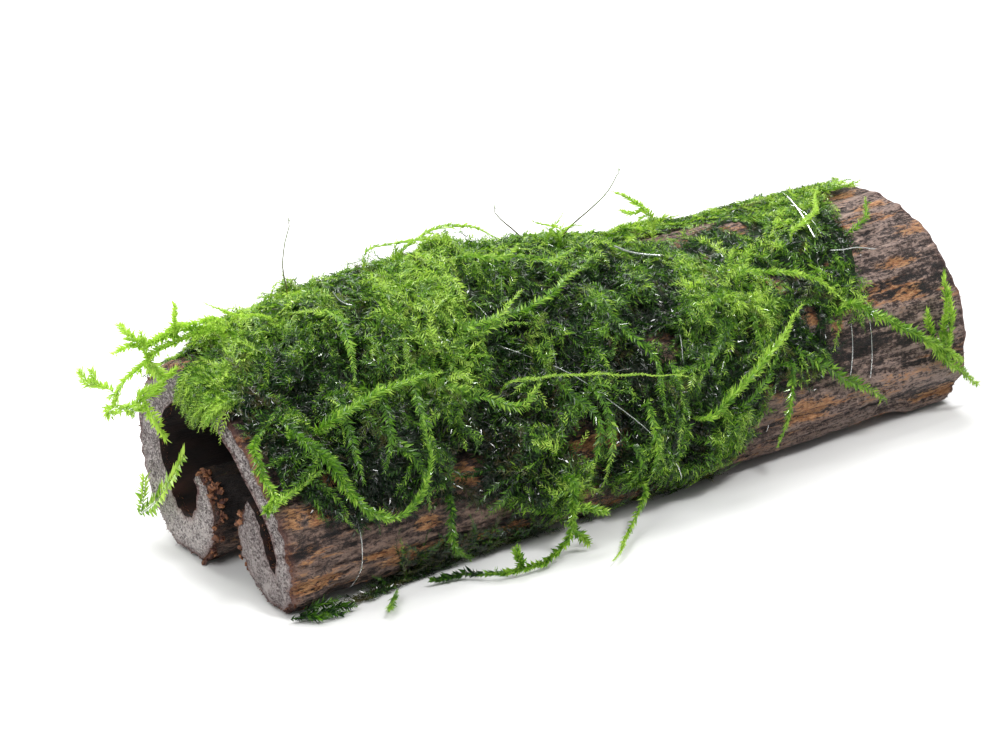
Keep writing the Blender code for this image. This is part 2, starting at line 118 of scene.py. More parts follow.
# Line
LINE_LIFT = 0.6            # how much higher a close turn lies where the long one is nearer than LINE_STEP
LINE_STEP = 4.0
RING_FRONT = (13.5, 14.25, 15.0, 15.75, 16.5, 17.25, 18.0, 18.75, 19.5, 20.1, 20.6, 21.1, 21.6, 22.1)
RING_BACK = (4.4, 4.9, 5.4, 6.0, 6.8, 7.6, 8.4, 9.2, 10.0, 10.8, 11.6, 12.5)
TURNS_AT_FRONT = (49.0, 45.0, 29.0, 8.0, -4.0, -16.6, -28.0, -38.8, -56.5, -58.5)
FRONT_PHASE = 0.2
KNOT_PHASE = 0.7
KNOT_RADIUS = 0.8
# Where the long turn lies: (share of a turn from the knot, x)
LONG_TURN = (
    (0.0, -57.0), (0.18, -47.0), (0.30, -33.0), (0.35, -27.5), (0.39, -22.2), (0.43, -17.8), (0.47, -14.2),
    (0.51, -10.3), (0.55, -4.8), (0.58, -0.6), (0.61, 2.8), (0.70, 10.0), (0.80, 22.0), (0.90, 37.0),
    (1.0, 52.0),
)
TURN_TILT = 4.8            # how far a turn leans along the log, growing between two x
TILT_START = (-60.0, -38.0)

# Camera: degrees round and over the log, millimetres away, and the middle of its view
CAMERA_AZIMUTH = -37.12
CAMERA_ELEVATION = 22.02
CAMERA_DISTANCE = 503.87
CAMERA_AIM = np.array([-14.2, 0.0, 19.14])
CAMERA_LENS = 111.66
SENSOR_WIDTH = 36.0


def ease(start, end, value):
    """0 before start, 1 after end, and a smooth step between."""
    part = np.clip((np.asarray(value, float) - start) / (end - start), 0.0, 1.0)
    return part * part * (3.0 - 2.0 * part)


def curve(rows, place):
    """Points at fractional row numbers on the smooth curve through rows."""
    rows = np.asarray(rows, float)
    place = np.asarray(place, float)
    row = np.clip(np.floor(place), 0, len(rows) - 2).astype(int)
    t = (place - row)[..., None]
    padded = np.vstack([2 * rows[0] - rows[1], rows, 2 * rows[-1] - rows[-2]])
    a, b, c, d = (padded[row + k] for k in range(4))
    return 0.5 * (2 * b + (c - a) * t + (2 * a - 5 * b + 4 * c - d) * t**2 + (3 * b - a - 3 * c + d) * t**3)


def read(table, x):
    """Values at x from a table of (x, value)."""
    return np.interp(x, [row[0] for row in table], [row[1] for row in table])


def hump(value, middle, reach):
    """1 at middle, falling to 0 within two or three reaches to either side."""
    return np.exp(-(((value - middle) / reach) ** 2))


def swell(x, station):
    """How far the front shoulder stands out at x, and the front foot's outer edge draws in."""
    shoulder = FULLER_FRONT * hump(station, FRONT_SHOULDER, SHOULDER_REACH)
    tuck = FOOT_TUCK * hump(station, TUCK_STATION, TUCK_REACH)
    return shoulder * ease(NEAR_END, FAR_END, x) - tuck * ease(TUCK_START, FAR_END, x)


def round_skin(station):
    """The step round the outer skin from just before a station to just after it, as (y, z)."""
    return curve(OUTER_SKIN, station + SHORT) - curve(OUTER_SKIN, station - SHORT)


def outward(station):
    """The way out of the bark at a station, as (y, z)."""
    ahead = round_skin(station)
    ahead = ahead / np.linalg.norm(ahead, axis=-1, keepdims=True)
    return np.stack([ahead[..., 1], -ahead[..., 0]], axis=-1)


def out_of_bark(station):
    """The way out of the bark at a station, as (x, y, z)."""
    way = outward(station)
    return np.concatenate([np.zeros(way.shape[:-1] + (1,)), way], axis=-1)


def skin(x, station, height):
    """Points over the bark's outer skin, before any furrow is worn in it."""
    x, station, height = np.broadcast_arrays(*(np.asarray(v, float) for v in (x, station, height)))
    flare = BACK_FLARE * hump(station, FLARE_STATION, FLARE_REACH) * (1 - ease(NEAR_END, FLARE_END, x))
    bulge = FAR_BULGE * hump(station, BULGE_STATION, BULGE_REACH) * ease(BULGE_START, FAR_END, x)
    normal = outward(station)
    flat = curve(OUTER_SKIN, station) + normal * (swell(x, station) + flare + bulge)[..., None]
    z = np.maximum(flat[..., 1] - FOOT_TRIM, 0.0)
    lift = ease(*ARCH_NEAR, x) * (1.0 - ease(*ARCH_FAR, x))
    z = z + ARCH * lift * (1.0 - ease(*ARCH_SIDES, z))
    return np.stack([x, flat[..., 0] + normal[..., 0] * height, z + normal[..., 1] * height], axis=-1)


def lattice(u, v, seed):
    """Smooth noise from 0 to 1 over a plane."""
    u, v = np.broadcast_arrays(np.asarray(u, float), np.asarray(v, float))
    iu, iv = np.floor(u), np.floor(v)
    fu, fv = u - iu, v - iv
    fu, fv = fu * fu * (3 - 2 * fu), fv * fv * (3 - 2 * fv)

    def corner(a, b):
        value = np.sin(a * 127.1 + b * 311.7 + seed * 74.7) * 43758.5453
        return value - np.floor(value)

    low = corner(iu, iv) * (1 - fu) + corner(iu + 1, iv) * fu
    high = corner(iu, iv + 1) * (1 - fu) + corner(iu + 1, iv + 1) * fu
    return low * (1 - fv) + high * fv


def unit(vectors):
    """The same directions, each one long."""
    return vectors / np.maximum(np.linalg.norm(vectors, axis=-1, keepdims=True), 1e-9)


def moss_hems(x):
    """The stations of the moss's hems on the back and on the front."""
    wave = HEM_WAVE * np.sin(np.asarray(x, float) / HEM_WAVE_LENGTH)
    return read(BACK_HEM, x) + wave, read(FRONT_HEM, x) - wave


def moss_thickness(x, station):
    """How thick the moss stands at a place, and 0 past its hems."""
    x, station = np.broadcast_arrays(np.asarray(x, float), np.asarray(station, float))
    back, front = moss_hems(x)
    inside = np.minimum(station - back, front - station)
    body = read(BACK_THICKNESS, x)
    body = body + (read(TOP_THICKNESS, x) - body) * ease(*BACK_TO_TOP, station)
    body = body + (read(FRONT_THICKNESS, x) - body) * ease(*TOP_TO_FRONT, station)
    full = HEM_THICKNESS + (body - HEM_THICKNESS) * ease(0.0, HEM_SLOPE, inside)
    past = HEM_THICKNESS * np.maximum(0.0, 1.0 + inside)
    return np.where(x > MAT_FAR, 0.0, np.where(inside < 0.0, past, full))


# Node groups and materials

FLOAT = "NodeSocketFloat"
COLOUR = "NodeSocketColor"
A_METRE = 1000.0           # millimetres in a metre, for sizes given as a number a millimetre


def new_group(name, inputs, outputs):
    """A shader node group with named sockets, each (socket type, name, value)."""
    group = bpy.data.node_groups.new(name, "ShaderNodeTree")
    for kind, label, value in inputs:
        socket = group.interface.new_socket(label, in_out="INPUT", socket_type=kind)
        socket.default_value = value
    for kind, label in outputs:
        group.interface.new_socket(label, in_out="OUTPUT", socket_type=kind)
    return group, group.nodes.new("NodeGroupInput"), group.nodes.new("NodeGroupOutput")


def fill(tree, made, values):
    """Sets a node's sockets to values, or links them to other nodes' sockets."""
    for key, value in values.items():
        if isinstance(value, bpy.types.NodeSocket):
            tree.links.new(value, made.inputs[key])
        else:
            made.inputs[key].default_value = value


def node(tree, kind, values=None, **settings):
    """A node with its settings and sockets."""
    made = tree.nodes.new(kind)
    for key, value in settings.items():
        setattr(made, key, value)
    fill(tree, made, values or {})
    return made


def math_node(tree, operation, a, b):
    return node(tree, "ShaderNodeMath", {0: a, 1: b}, operation=operation).outputs[0]


def plus(tree, a, b):
    return math_node(tree, "ADD", a, b)


def times(tree, a, b):
    return math_node(tree, "MULTIPLY", a, b)


def mix_colour(tree, share, a, b):
    return node(tree, "ShaderNodeMix", {0: share, 6: a, 7: b}, data_type="RGBA").outputs[2]


def spread(tree, value, low, high, start=0.0, end=1.0):
    """value from low..high to start..end, clamped."""
    return node(tree, "ShaderNodeMapRange", {0: value, 1: low, 2: high, 3: start, 4: end}).outputs[0]


def attribute(tree, name):
    """A value that the mesh gives at each point."""
    return node(tree, "ShaderNodeAttribute", attribute_name=name).outputs["Fac"]


def object_place(tree):
    """The place on the object, in metres."""
    return node(tree, "ShaderNodeTexCoord").outputs["Object"]


def noise(tree, place, scale, detail, **sockets):
    """Uneven values round 0.5 over the object."""
    values = {"Vector": place, "Scale": scale, "Detail": detail, **sockets}
    return node(tree, "ShaderNodeTexNoise", values).outputs[0]


def bump(tree, height, strength, distance, under=None):
    """The relief of a height, over a coarser relief if under gives one."""
    values = {"Strength": strength, "Distance": distance, "Height": height}
    if under is not None:
        values["Normal"] = under
    return node(tree, "ShaderNodeBump", values).outputs[0]


def make_grain_group():
    """Fibres that run along the log: a height, and a slower blotch."""
    group, inside, out = new_group(
        "Fibre grain",
        [(FLOAT, "Fibres across", 1.4), (FLOAT, "Stretch", 0.12), (FLOAT, "Roughness", 0.65)],
        [(FLOAT, "Height"), (FLOAT, "Blotch")],
    )
    size = node(group, "ShaderNodeCombineXYZ", {"X": inside.outputs["Stretch"], "Y": 1.0, "Z": 1.0})
    both = {0: object_place(group), 1: size.outputs[0]}
    pulled = node(group, "ShaderNodeVectorMath", both, operation="MULTIPLY").outputs[0]
    across = times(group, inside.outputs["Fibres across"], A_METRE)
    fibre = noise(group, pulled, across, 6.0, Roughness=inside.outputs["Roughness"], Distortion=0.4)
    fill(group, out, {"Height": fibre, "Blotch": noise(group, pulled, 210.0, 3.0)})
    return group


def make_pit_group():
    """The open pores of a sawn face: dark pits over a fine crumb."""
    group, inside, out = new_group(
        "Sawn pores",
        [(FLOAT, "Pits a millimetre", 2.2), (FLOAT, "Pit size", 0.42)],
        [(FLOAT, "Pit"), (FLOAT, "Crumb")],
    )
    place = object_place(group)
    scale = times(group, inside.outputs["Pits a millimetre"], A_METRE)
    cells = node(group, "ShaderNodeTexVoronoi", {"Vector": place, "Scale": scale, "Randomness": 1.0})
    deep = spread(group, cells.outputs["Distance"], 0.0, inside.outputs["Pit size"], 1.0, 0.0)
    here = spread(group, noise(group, place, 900.0, 4.0), 0.36, 0.52)
    crumb = noise(group, place, 2400.0, 4.0, Roughness=0.8)
    fill(group, out, {"Pit": times(group, deep, here), "Crumb": crumb})
    return group


def make_leaf_group():
    """Leaf colour from how old the leaf is and how bright its shoot, with a slow drift over the plant."""
    group, inside, out = new_group(
        "Leaf colour",
        [(COLOUR, "Shade", (0.003, 0.011, 0.004, 1)), (COLOUR, "Green", (0.016, 0.056, 0.011, 1)),
         (COLOUR, "Bright", (0.128, 0.290, 0.024, 1)), (COLOUR, "Tip", (0.455, 0.645, 0.110, 1)),
         (COLOUR, "Old", (0.070, 0.055, 0.020, 1))],
        [(COLOUR, "Colour"), (FLOAT, "Value")],
    )
    drift = spread(group, noise(group, object_place(group), 240.0, 3.0), 0.3, 0.7, -0.12, 0.12)
    younger = times(group, attribute(group, "age"), 0.30)
    value = plus(group, plus(group, attribute(group, "tone"), younger), drift)
    colour = inside.outputs["Shade"]
    for name, start, end in (("Green", 0.0, 0.38), ("Bright", 0.32, 0.75), ("Tip", 0.70, 1.15)):
        colour = mix_colour(group, spread(group, value, start, end), colour, inside.outputs[name])
    colour = mix_colour(group, attribute(group, "old"), colour, inside.outputs["Old"])
    fill(group, out, {"Colour": colour, "Value": value})
    return group


GRAIN = make_grain_group()
PORES = make_pit_group()
LEAF = make_leaf_group()


def blank_material(name):
    """A material, its nodes, and its one shader."""
    made = bpy.data.materials.new(name)
    made.use_nodes = True
    tree = made.node_tree
    return made, tree, tree.nodes["Principled BSDF"]


def place_group(tree, group, **values):
    """A group in a material with its own values; gives what it puts out."""
    made = tree.nodes.new("ShaderNodeGroup")
    made.node_tree = group
    fill(tree, made, {key.replace("_", " "): value for key, value in values.items()})
    return made.outputs


def bark_outside_material():
    """Dark bark, greyed on its flats, with orange-brown fibres where its ridges are rubbed open; its red rim is
    partly painted light, and its slot is painted shade.
    """
    dark, brown = (0.005, 0.003, 0.003, 1), (0.052, 0.029, 0.024, 1)
    grey, ash = (0.262, 0.172, 0.134, 1), (0.425, 0.305, 0.258, 1)
    orange, tan = (0.340, 0.110, 0.030, 1), (0.640, 0.340, 0.140, 1)
    red, darkened_colour = (0.180, 0.065, 0.050, 1), (0.006, 0.003, 0.003, 1)
    made, tree, shader = blank_material("bark_outside")
    cords = place_group(tree, GRAIN, Fibres_across=1.2, Stretch=0.17, Roughness=0.7)
    threads = place_group(tree, GRAIN, Fibres_across=3.2, Stretch=0.30, Roughness=0.7)
    far = attribute(tree, "far")
    cord = spread(tree, cords["Height"], 0.38, 0.62)
    thread = spread(tree, threads["Height"], 0.36, 0.64)
    stand = spread(tree, attribute(tree, "ridge"), 0.34, 0.68)
    fleck = noise(tree, object_place(tree), 1500.0, 3.0, Roughness=0.7)
    speckle = times(tree, spread(tree, fleck, 0.38, 0.62, -0.11, 0.11), spread(tree, far, 0.0, 1.0, 1.0, 0.9))
    fibres = plus(tree, times(tree, cord, 0.36), times(tree, thread, 0.32))
    level = plus(tree, plus(tree, fibres, times(tree, stand, 0.32)), speckle)
    furrows = mix_colour(tree, spread(tree, level, 0.28, 0.46), dark, brown)
    greyed = mix_colour(tree, far, grey, ash)
    flats = mix_colour(tree, spread(tree, level, 0.48, 0.72), furrows, greyed)
    blotched = times(tree, cord, spread(tree, cords["Blotch"], 0.42, 0.62))
    streaks = spread(tree, blotched, 0.30, 0.85, 0.0, 0.75)
    frayed = plus(tree, attribute(tree, "rubbed_and_lit"), spread(tree, fibres, 0.16, 0.48, -0.75, 0.28))
    torn = math_node(tree, "MAXIMUM", frayed, streaks)
    warm = mix_colour(tree, spread(tree, thread, 0.15, 0.95), orange, tan)
    worn = mix_colour(tree, spread(tree, torn, 0.25, 0.75, 0.0, 0.85), flats, warm)
    # the red at the rims is partly the bark's own red-brown edge, partly painted light that lifts the shade on
    # it
    rimmed = mix_colour(tree, times(tree, attribute(tree, "rim"), 0.8), worn, red)
    # painted shade: the outside turns almost black in the slot between the rolled edges
    fill(tree, shader, {
        "Base Color": mix_colour(tree, times(tree, attribute(tree, "darkened"), 0.93), rimmed, darkened_colour),
        "Roughness": spread(tree, cords["Blotch"], 0.35, 0.65, 0.45, 0.85),
        "Normal": bump(tree, thread, 0.8, 0.0003, bump(tree, cord, 0.9, 0.0006)),
    })
    return made


def sawn_material():
    """The sawn faces: grey-brown and full of open pores, darker towards the front foot, with a red rim that is
    partly painted light.
    """
    pale, brown, pit = (0.62, 0.56, 0.54, 1), (0.080, 0.052, 0.054, 1), (0.016, 0.007, 0.008, 1)
    red, darkened_colour = (0.150, 0.050, 0.042, 1), (0.050, 0.018, 0.016, 1)
    made, tree, shader = blank_material("bark_sawn")
    pores = place_group(tree, PORES, Pits_a_millimetre=2.6, Pit_size=0.64)
    crumb = spread(tree, pores["Crumb"], 0.38, 0.62)
    grain = plus(tree, times(tree, attribute(tree, "ridge"), 0.45), times(tree, crumb, 0.60))
    crumbs = mix_colour(tree, spread(tree, grain, 0.30, 0.80), brown, pale)
    # the red rim is partly the face's own red-brown edge, partly painted light that lifts the shade on it
    rimmed = mix_colour(tree, times(tree, attribute(tree, "rim"), 0.7), crumbs, red)
    pitted = mix_colour(tree, times(tree, pores["Pit"], 0.95), rimmed, pit)
    height = math_node(tree, "SUBTRACT", pores["Crumb"], pores["Pit"])
    # darker towards the front foot
    fill(tree, shader, {
        "Base Color": mix_colour(tree, times(tree, attribute(tree, "darkened"), 0.35), pitted, darkened_colour),
        "Roughness": spread(tree, pores["Crumb"], 0.3, 0.7, 0.4, 0.8),
        "Normal": bump(tree, height, 1.0, 0.0006),
    })
    return made


def bark_inside_material():
    """The hollow: nearly black as painted shade, with painted light in red-brown near its mouth where the light
    reaches.
    """
    dark, red, orange = (0.002, 0.001, 0.001, 1), (0.014, 0.004, 0.003, 1), (0.060, 0.018, 0.010, 1)
    made, tree, shader = blank_material("bark_inside")
    height = place_group(tree, GRAIN, Fibres_across=0.8, Stretch=0.2)["Height"]
    # painted shade: the walls' colours are kept nearly black
    walls = mix_colour(tree, spread(tree, height, 0.35, 0.72), dark, red)
    fill(tree, shader, {
        "Base Color": mix_colour(tree, attribute(tree, "rubbed_and_lit"), walls, orange),
        "Roughness": 0.8,
        "Normal": bump(tree, height, 0.9, 0.0005),
    })
    return made


LEAF_THROUGH = 0.32        # how much light passes through a leaf, and through a stalk
STALK_THROUGH = 0.10
STALK_BROWN = (0.085, 0.055, 0.025, 1)
STALK_DARK = (0.04, 0.025, 0.012, 1)


def leaf_material(name, through, **colours):
    """Wet leaves that let some light through."""
    made, tree, shader = blank_material(name)
    leaf = place_group(tree, LEAF, **colours)
    fill(tree, shader, {
        "Base Color": leaf["Colour"],
        "Roughness": spread(tree, leaf["Value"], 0.0, 1.0, 0.30, 0.48),
        "Specular IOR Level": 0.25,
        "Coat Weight": 0.60,
        "Coat Roughness": 0.08,
    })
    lit = node(tree, "ShaderNodeHueSaturation", {"Color": leaf["Colour"], "Value": 1.5, "Saturation": 1.1})
    glow = node(tree, "ShaderNodeBsdfTranslucent", {"Color": lit.outputs[0]})
    both = node(tree, "ShaderNodeMixShader", {0: through, 1: shader.outputs[0], 2: glow.outputs[0]})
    fill(tree, tree.nodes["Material Output"], {"Surface": both.outputs[0]})
    return made


def felt_material():
    """The close dark tangle under the leaves: its own dark green, deepened to near black as painted shade."""
    made, tree, shader = blank_material("moss_felt")
    fine = noise(tree, object_place(tree), 1600.0, 5.0, Roughness=0.7)
    tangle = spread(tree, fine, 0.35, 0.68)
    # painted shade: the felt's greens are deepened to near black
    fill(tree, shader, {
        "Base Color": mix_colour(tree, tangle, (0.003, 0.008, 0.002, 1), (0.014, 0.040, 0.006, 1)),
        "Roughness": 0.6,
        "Specular IOR Level": 0.15,
        "Normal": bump(tree, fine, 1.0, 0.0006),
    })
    return made


def fibre_material():
    """Torn bark fibre, from dark red-brown to tan."""
    made, tree, shader = blank_material("bark_fibre")
    tone = attribute(tree, "tone")
    fill(tree, shader, {
        "Base Color": mix_colour(tree, tone, (0.045, 0.012, 0.009, 1), (0.400, 0.165, 0.062, 1)),
        "Roughness": 0.7,
    })
    return made


def line_material():
    """Clear nylon, a little scuffed."""
    made, tree, shader = blank_material("clear_line")
    scuff = noise(tree, object_place(tree), 500.0, 2.0)
    fill(tree, shader, {
        "Base Color": (0.62, 0.66, 0.64, 1),
        "Roughness": spread(tree, scuff, 0.3, 0.7, 0.10, 0.30),
        "Transmission Weight": 0.75,
        "IOR": 1.53,
    })
    return made


# Meshes


def piece(name, points, faces, materials, replaced=(), values=None, slots=None, smooth=True):
    """A mesh from points in millimetres, with per-point values, riding on the log."""
    mesh = bpy.data.meshes.new(name)
    faces = [np.asarray(part, np.int32) for part in faces]
    count = sum(len(part) for part in faces)
    corners = np.concatenate([part.ravel() for part in faces])
    sizes = np.concatenate([np.full(len(part), part.shape[1], np.int32) for part in faces])
    mesh.vertices.add(len(points))
    mesh.vertices.foreach_set("co", ((np.asarray(points) + GROUND_SHIFT) * MM).astype(np.float32).ravel())
    mesh.loops.add(len(corners))
    mesh.loops.foreach_set("vertex_index", corners)
    mesh.polygons.add(count)
    mesh.polygons.foreach_set("loop_start", np.concatenate([[0], np.cumsum(sizes)[:-1]]).astype(np.int32))
    for key, numbers in (values or {}).items():
        layer = mesh.attributes.new(key, "FLOAT", "POINT")
        layer.data.foreach_set("value", np.asarray(numbers, np.float32))
    for surface in materials:
        mesh.materials.append(surface)
    if slots is not None:
        mesh.polygons.foreach_set("material_index", np.asarray(slots, np.int32))
    mesh.polygons.foreach_set("use_smooth", np.full(count, smooth))
    mesh.update(calc_edges=True)
    mesh.validate()
    made = bpy.data.objects.new(name, mesh)
    bpy.context.scene.collection.objects.link(made)
    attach(made, "root")
    if replaced:
        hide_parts(*replaced)
    return made


def sheet_faces(rows, columns, start=0, closed=False):
    """Quads of a grid of points, row by row. closed joins each row's last point to its first."""
    width = columns if closed else columns - 1
    row, column = np.meshgrid(np.arange(rows - 1), np.arange(width), indexing="ij")
    low = start + row * columns + column
    side = start + row * columns + (column + 1) % columns
    return np.stack([low, side, side + columns, low + columns], axis=-1).reshape(-1, 4)


def ball(middle, radius, rings=8, sides=12):
    """A wound bead: a ball of quads, open by a hair at its poles."""
    turn, rise = np.meshgrid(np.arange(sides) * 2 * math.pi / sides, np.linspace(0.05, math.pi - 0.05, rings))
    wound = radius * (1.0 + 0.12 * np.sin(3 * turn + 4 * rise))
    across = wound * np.sin(rise)
    points = np.stack([wound * np.cos(rise), across * np.cos(turn), across * np.sin(turn)], axis=-1)
    return points.reshape(-1, 3) + middle, sheet_faces(rings, sides, closed=True)


def join(parts):
    """Several (points, faces, values) as one."""
    starts = np.cumsum([0] + [len(part[0]) for part in parts])
    faces = np.concatenate([part[1] + start for part, start in zip(parts, starts)])
    values = {key: np.concatenate([part[2][key] for part in parts]) for key in parts[0][2]}
    return np.concatenate([part[0] for part in parts]), faces, values


# Bark: a sheet with fine relief, sawn at both ends

GRAIN_SEED = 3
RING_COUNT = 226
NEAR_CROWD = 1.25          # rings stand closer together near the end that shows
RIM_START = 0.7            # how far from the sawn planes the outside starts, and the hollow's wall
HOLLOW_START = 0.35
RIM_REACH = 1.3            # how far along the bark the rim's red edge reaches
FACE_LEVELS = 14
HOLLOW_STEPS = 110
HOLLOW_RINGS = 70
# Where the bark is rubbed open to its orange fibre: (x, station, half length, half width in stations)
RUBBED_SPOTS = (
    (-65.5, 19.7, 6.0, 0.55), (-52.0, 19.4, 6.0, 0.25), (-44.0, 18.8, 3.0, 0.25), (-49.5, 20.1, 3.5, 0.25),
    (-67.0, 17.5, 2.4, 0.5), (-62.5, 17.7, 3.0, 0.35), (-69.0, 16.1, 2.0, 0.9), (-66.5, 12.0, 4.0, 0.35),
    (34.0, 15.6, 2.6, 0.4), (37.5, 16.6, 2.0, 0.35), (42.3, 17.0, 2.2, 0.3), (-59.0, 16.9, 2.6, 0.4),
    (-69.2, 12.6, 3.0, 0.5), (-36.0, 17.9, 4.5, 0.45), (-11.0, 17.95, 7.0, 0.5), (0.0, 16.4, 2.0, 0.4),
    (29.5, 15.7, 2.6, 0.45), (14.0, 20.2, 6.0, 0.5), (-30.0, 20.3, 11.0, 0.35), (-46.0, 19.9, 8.0, 0.35),
    (33.0, 19.0, 9.0, 0.45), (51.0, 21.0, 5.0, 0.4), (65.0, 20.1, 9.0, 0.5), (66.0, 15.2, 5.0, 0.22),
    (60.0, 15.9, 6.0, 0.2), (64.0, 14.2, 5.0, 0.2), (58.0, 16.7, 5.0, 0.22), (62.0, 13.3, 4.0, 0.3),
)


def rubbed_spots(x, station):
    """1 in the middle of each rubbed spot, 0 outside them all."""
    deep = np.zeros(np.shape(x))
    for at_x, at_station, long, wide in RUBBED_SPOTS:
        far = ((x - at_x) / long) ** 2 + ((station - at_station) / wide) ** 2
        deep = np.maximum(deep, np.exp(-far))
    return deep


LONG_FIBRES = 10.0         # past this x the fibres are drawn out longer


def bark_relief(x, station):
    """Depth worn in the outer skin, how high each place stands on its ridge, and where it is rubbed open."""
    off_feet = ease(0.3, 3.0, skin(x, station, 0.0)[..., 2])
    bend = 0.5 * (lattice(x / 16, station / 2, GRAIN_SEED) - 0.5)
    ridges = 1 - np.abs(2 * lattice(x / 34, (station + bend) * 1.5, GRAIN_SEED + 1) - 1)
    along = np.where(x > LONG_FIBRES, LONG_FIBRES + 0.45 * (x - LONG_FIBRES), x)
    cords = 1 - np.abs(2 * lattice(along / 14, (station + bend) * 3.6, GRAIN_SEED + 2) - 1)
    threads = lattice(along / 3.6, (station + bend) * 8.5, GRAIN_SEED + 3)
    crumbs = lattice(x / 0.9, station * 8.0, GRAIN_SEED + 4)
    far = ease(-20.0, 55.0, x)
    stand = ((0.26 + 0.14 * far) * ridges + 0.26 * cords + (0.28 - 0.08 * far) * threads
             + (0.20 - 0.06 * far) * crumbs)
    depth = 0.40 + 2.5 * (0.52 - stand) * (0.4 + 0.6 * off_feet) * (0.9 - 0.25 * ease(50.0, 66.0, x))
    patch = (lattice(x / 13, station * 0.9, GRAIN_SEED + 5) * 0.6
             + lattice(x / 4, station * 2.4, GRAIN_SEED + 6) * 0.4)
    loose = 0.5 * ease(0.50, 0.78, patch) * ease(0.40, 0.70, stand)
    spots = rubbed_spots(x, station) * (0.45 + 0.9 * lattice(x / 2.2, station * 6.0, GRAIN_SEED + 7))
    return np.maximum(depth, -0.35 * off_feet), stand, np.clip(loose + ease(0.20, 0.85, spots), 0, 1)


def bark_outside(x, station):
    """Points of the outside with all their relief, how high they stand, and how rubbed they are."""
    depth, stand, rubbed_and_lit = bark_relief(x, station)
    outer = skin(x, station, -depth)
    from_lip = np.minimum(station, LAST_STATION - station)
    outer[..., 1] += LIP_WANDER * np.sin(x / 21) * (1.0 - ease(1.5, 3.5, from_lip))
    return outer, stand, rubbed_and_lit


def bark_inside(x, station):
    """Points of the hollow's wall, which follows the swelling of the outside."""
    x, station = np.broadcast_arrays(np.asarray(x, float), np.asarray(station, float))
    y, z = np.moveaxis(curve(INNER_SKIN, station), -1, 0)
    grow = 0.8 * swell(x, station)
    ripple = 0.25 * np.sin(x / 9 + 1.7 * station)
    inner = np.stack([x, y - grow * 0.66 + ripple, z - FOOT_TRIM + grow * 0.75], axis=-1)
    way = unit(skin(x, station, 0.0) - inner)
    rough = lattice(x / 2.6, station * 2.4, GRAIN_SEED + 8) - 0.5
    return inner + 0.6 * rough[..., None] * way


def outside_stations():
    """Station numbers round the outside, closer together over the top and front."""
    return np.concatenate([
        np.linspace(0.0, 11.5, 62, endpoint=False), np.linspace(11.5, 23.2, 176, endpoint=False),
        np.linspace(23.2, LAST_STATION, 30),
    ])


LOWER_PALER = 0.40         # how much paler the sawn faces are near the ground
SAWN_LUMPS = ((0.30, 1.5, 41), (0.35, 0.7, 42), (0.35, 0.4, 43))     # (share, size in millimetres, seed)


def sawn_face(end, outer, inner, stations, first):
    """A sawn end: rows of points from the outer rim to the inner one, rough with open pores."""
    share = np.linspace(0.0, 1.0, FACE_LEVELS + 1)
    level = np.repeat(share[:, None], len(stations), axis=1)
    points = outer[None] * (1 - level[..., None]) + inner[None] * level[..., None]
    y, z = points[..., 1], points[..., 2]
    lumps = sum(part * lattice(y / size, z / size, seed) for part, size, seed in SAWN_LUMPS)
    lumps = lumps + LOWER_PALER * (1 - ease(6.0, 14.0, z)) * ease(0.5, 2.0, z)
    rim = np.abs(2 * level - 1) ** 5
    at_bark, at_hollow = (1 - level) ** 10, level**10
    middle = 1 - at_bark - at_hollow
    deep = middle * (0.15 + (1 - lumps) + 0.5 * rim) + RIM_START * at_bark + HOLLOW_START * at_hollow
    points[..., 0] = end + deep if end == NEAR_END else end - deep
    faces = sheet_faces(len(share), len(stations), start=first)
    if end == FAR_END:
        faces = faces[:, ::-1]
    # darker towards the front foot
    darkened = np.broadcast_to(ease(17.5, 20.0, stations), level.shape)
    return points.reshape(-1, 3), faces, {"ridge": lumps, "rim": rim, "darkened": darkened}


def rim_rounding(x, station):
    """How the outside draws in where it meets a sawn face."""
    depth = 0.5 * hump(np.minimum(x - NEAR_END, FAR_END - x), RIM_START, 0.5)
    return out_of_bark(station) * depth[..., None]


def make_bark():
    """The outside and both sawn faces, as one sheet."""
    part = np.linspace(0.0, 1.0, RING_COUNT)
    xs = NEAR_END + RIM_START + (FAR_END - NEAR_END - 2 * RIM_START) * part**NEAR_CROWD
    stations = outside_stations()
    x, station = np.meshgrid(xs, stations, indexing="ij")
    outer, stand, rubbed_and_lit = bark_outside(x, station)
    outer = outer - rim_rounding(x, station)
    torn = ease(0.55, 0.85, lattice(x / 2.4, station * 2.0, 31)) * (1 - ease(-64.0, -52.0, x))
    lips = torn * (1 - ease(1.8, 3.8, np.minimum(station, LAST_STATION - station)))
    # the rims' red is partly the bark's own colour, partly painted light that lifts the shade at the sawn edges
    rims = hump(x, NEAR_END, RIM_REACH) + hump(x, FAR_END, RIM_REACH)
    # painted shade in the slot between the rolled edges, weaker near the sawn ends
    slot_shade = np.maximum(1 - ease(1.8, 3.4, station), ease(23.4, 25.0, station)) * (1 - 0.7 * rims)
    values = {"ridge": [stand], "rubbed_and_lit": [np.maximum(rubbed_and_lit, lips)], "rim": [rims], "darkened": [slot_shade],
              "far": [ease(10.0, 60.0, x)]}
    points = [outer.reshape(-1, 3)]
    faces = [sheet_faces(RING_COUNT, len(stations))[:, ::-1]]
    slots = [np.zeros(len(faces[0]), int)]
    total = stand.size
    for end, ring in ((NEAR_END, 0), (FAR_END, RING_COUNT - 1)):
        more, quads, numbers = sawn_face(end, outer[ring], bark_inside(end, stations), stations, total)
        points.append(more)
        faces.append(quads)
        slots.append(np.ones(len(quads), int))
        for key, parts in values.items():
            parts.append(numbers.get(key, np.zeros(len(more))))
        total += len(more)
    values = {key: np.concatenate([numbers.ravel() for numbers in parts]) for key, parts in values.items()}
    piece("bark", np.concatenate(points), faces, [bark_outside_material(), sawn_material()],
          ["bark_tube"], values, np.concatenate(slots))


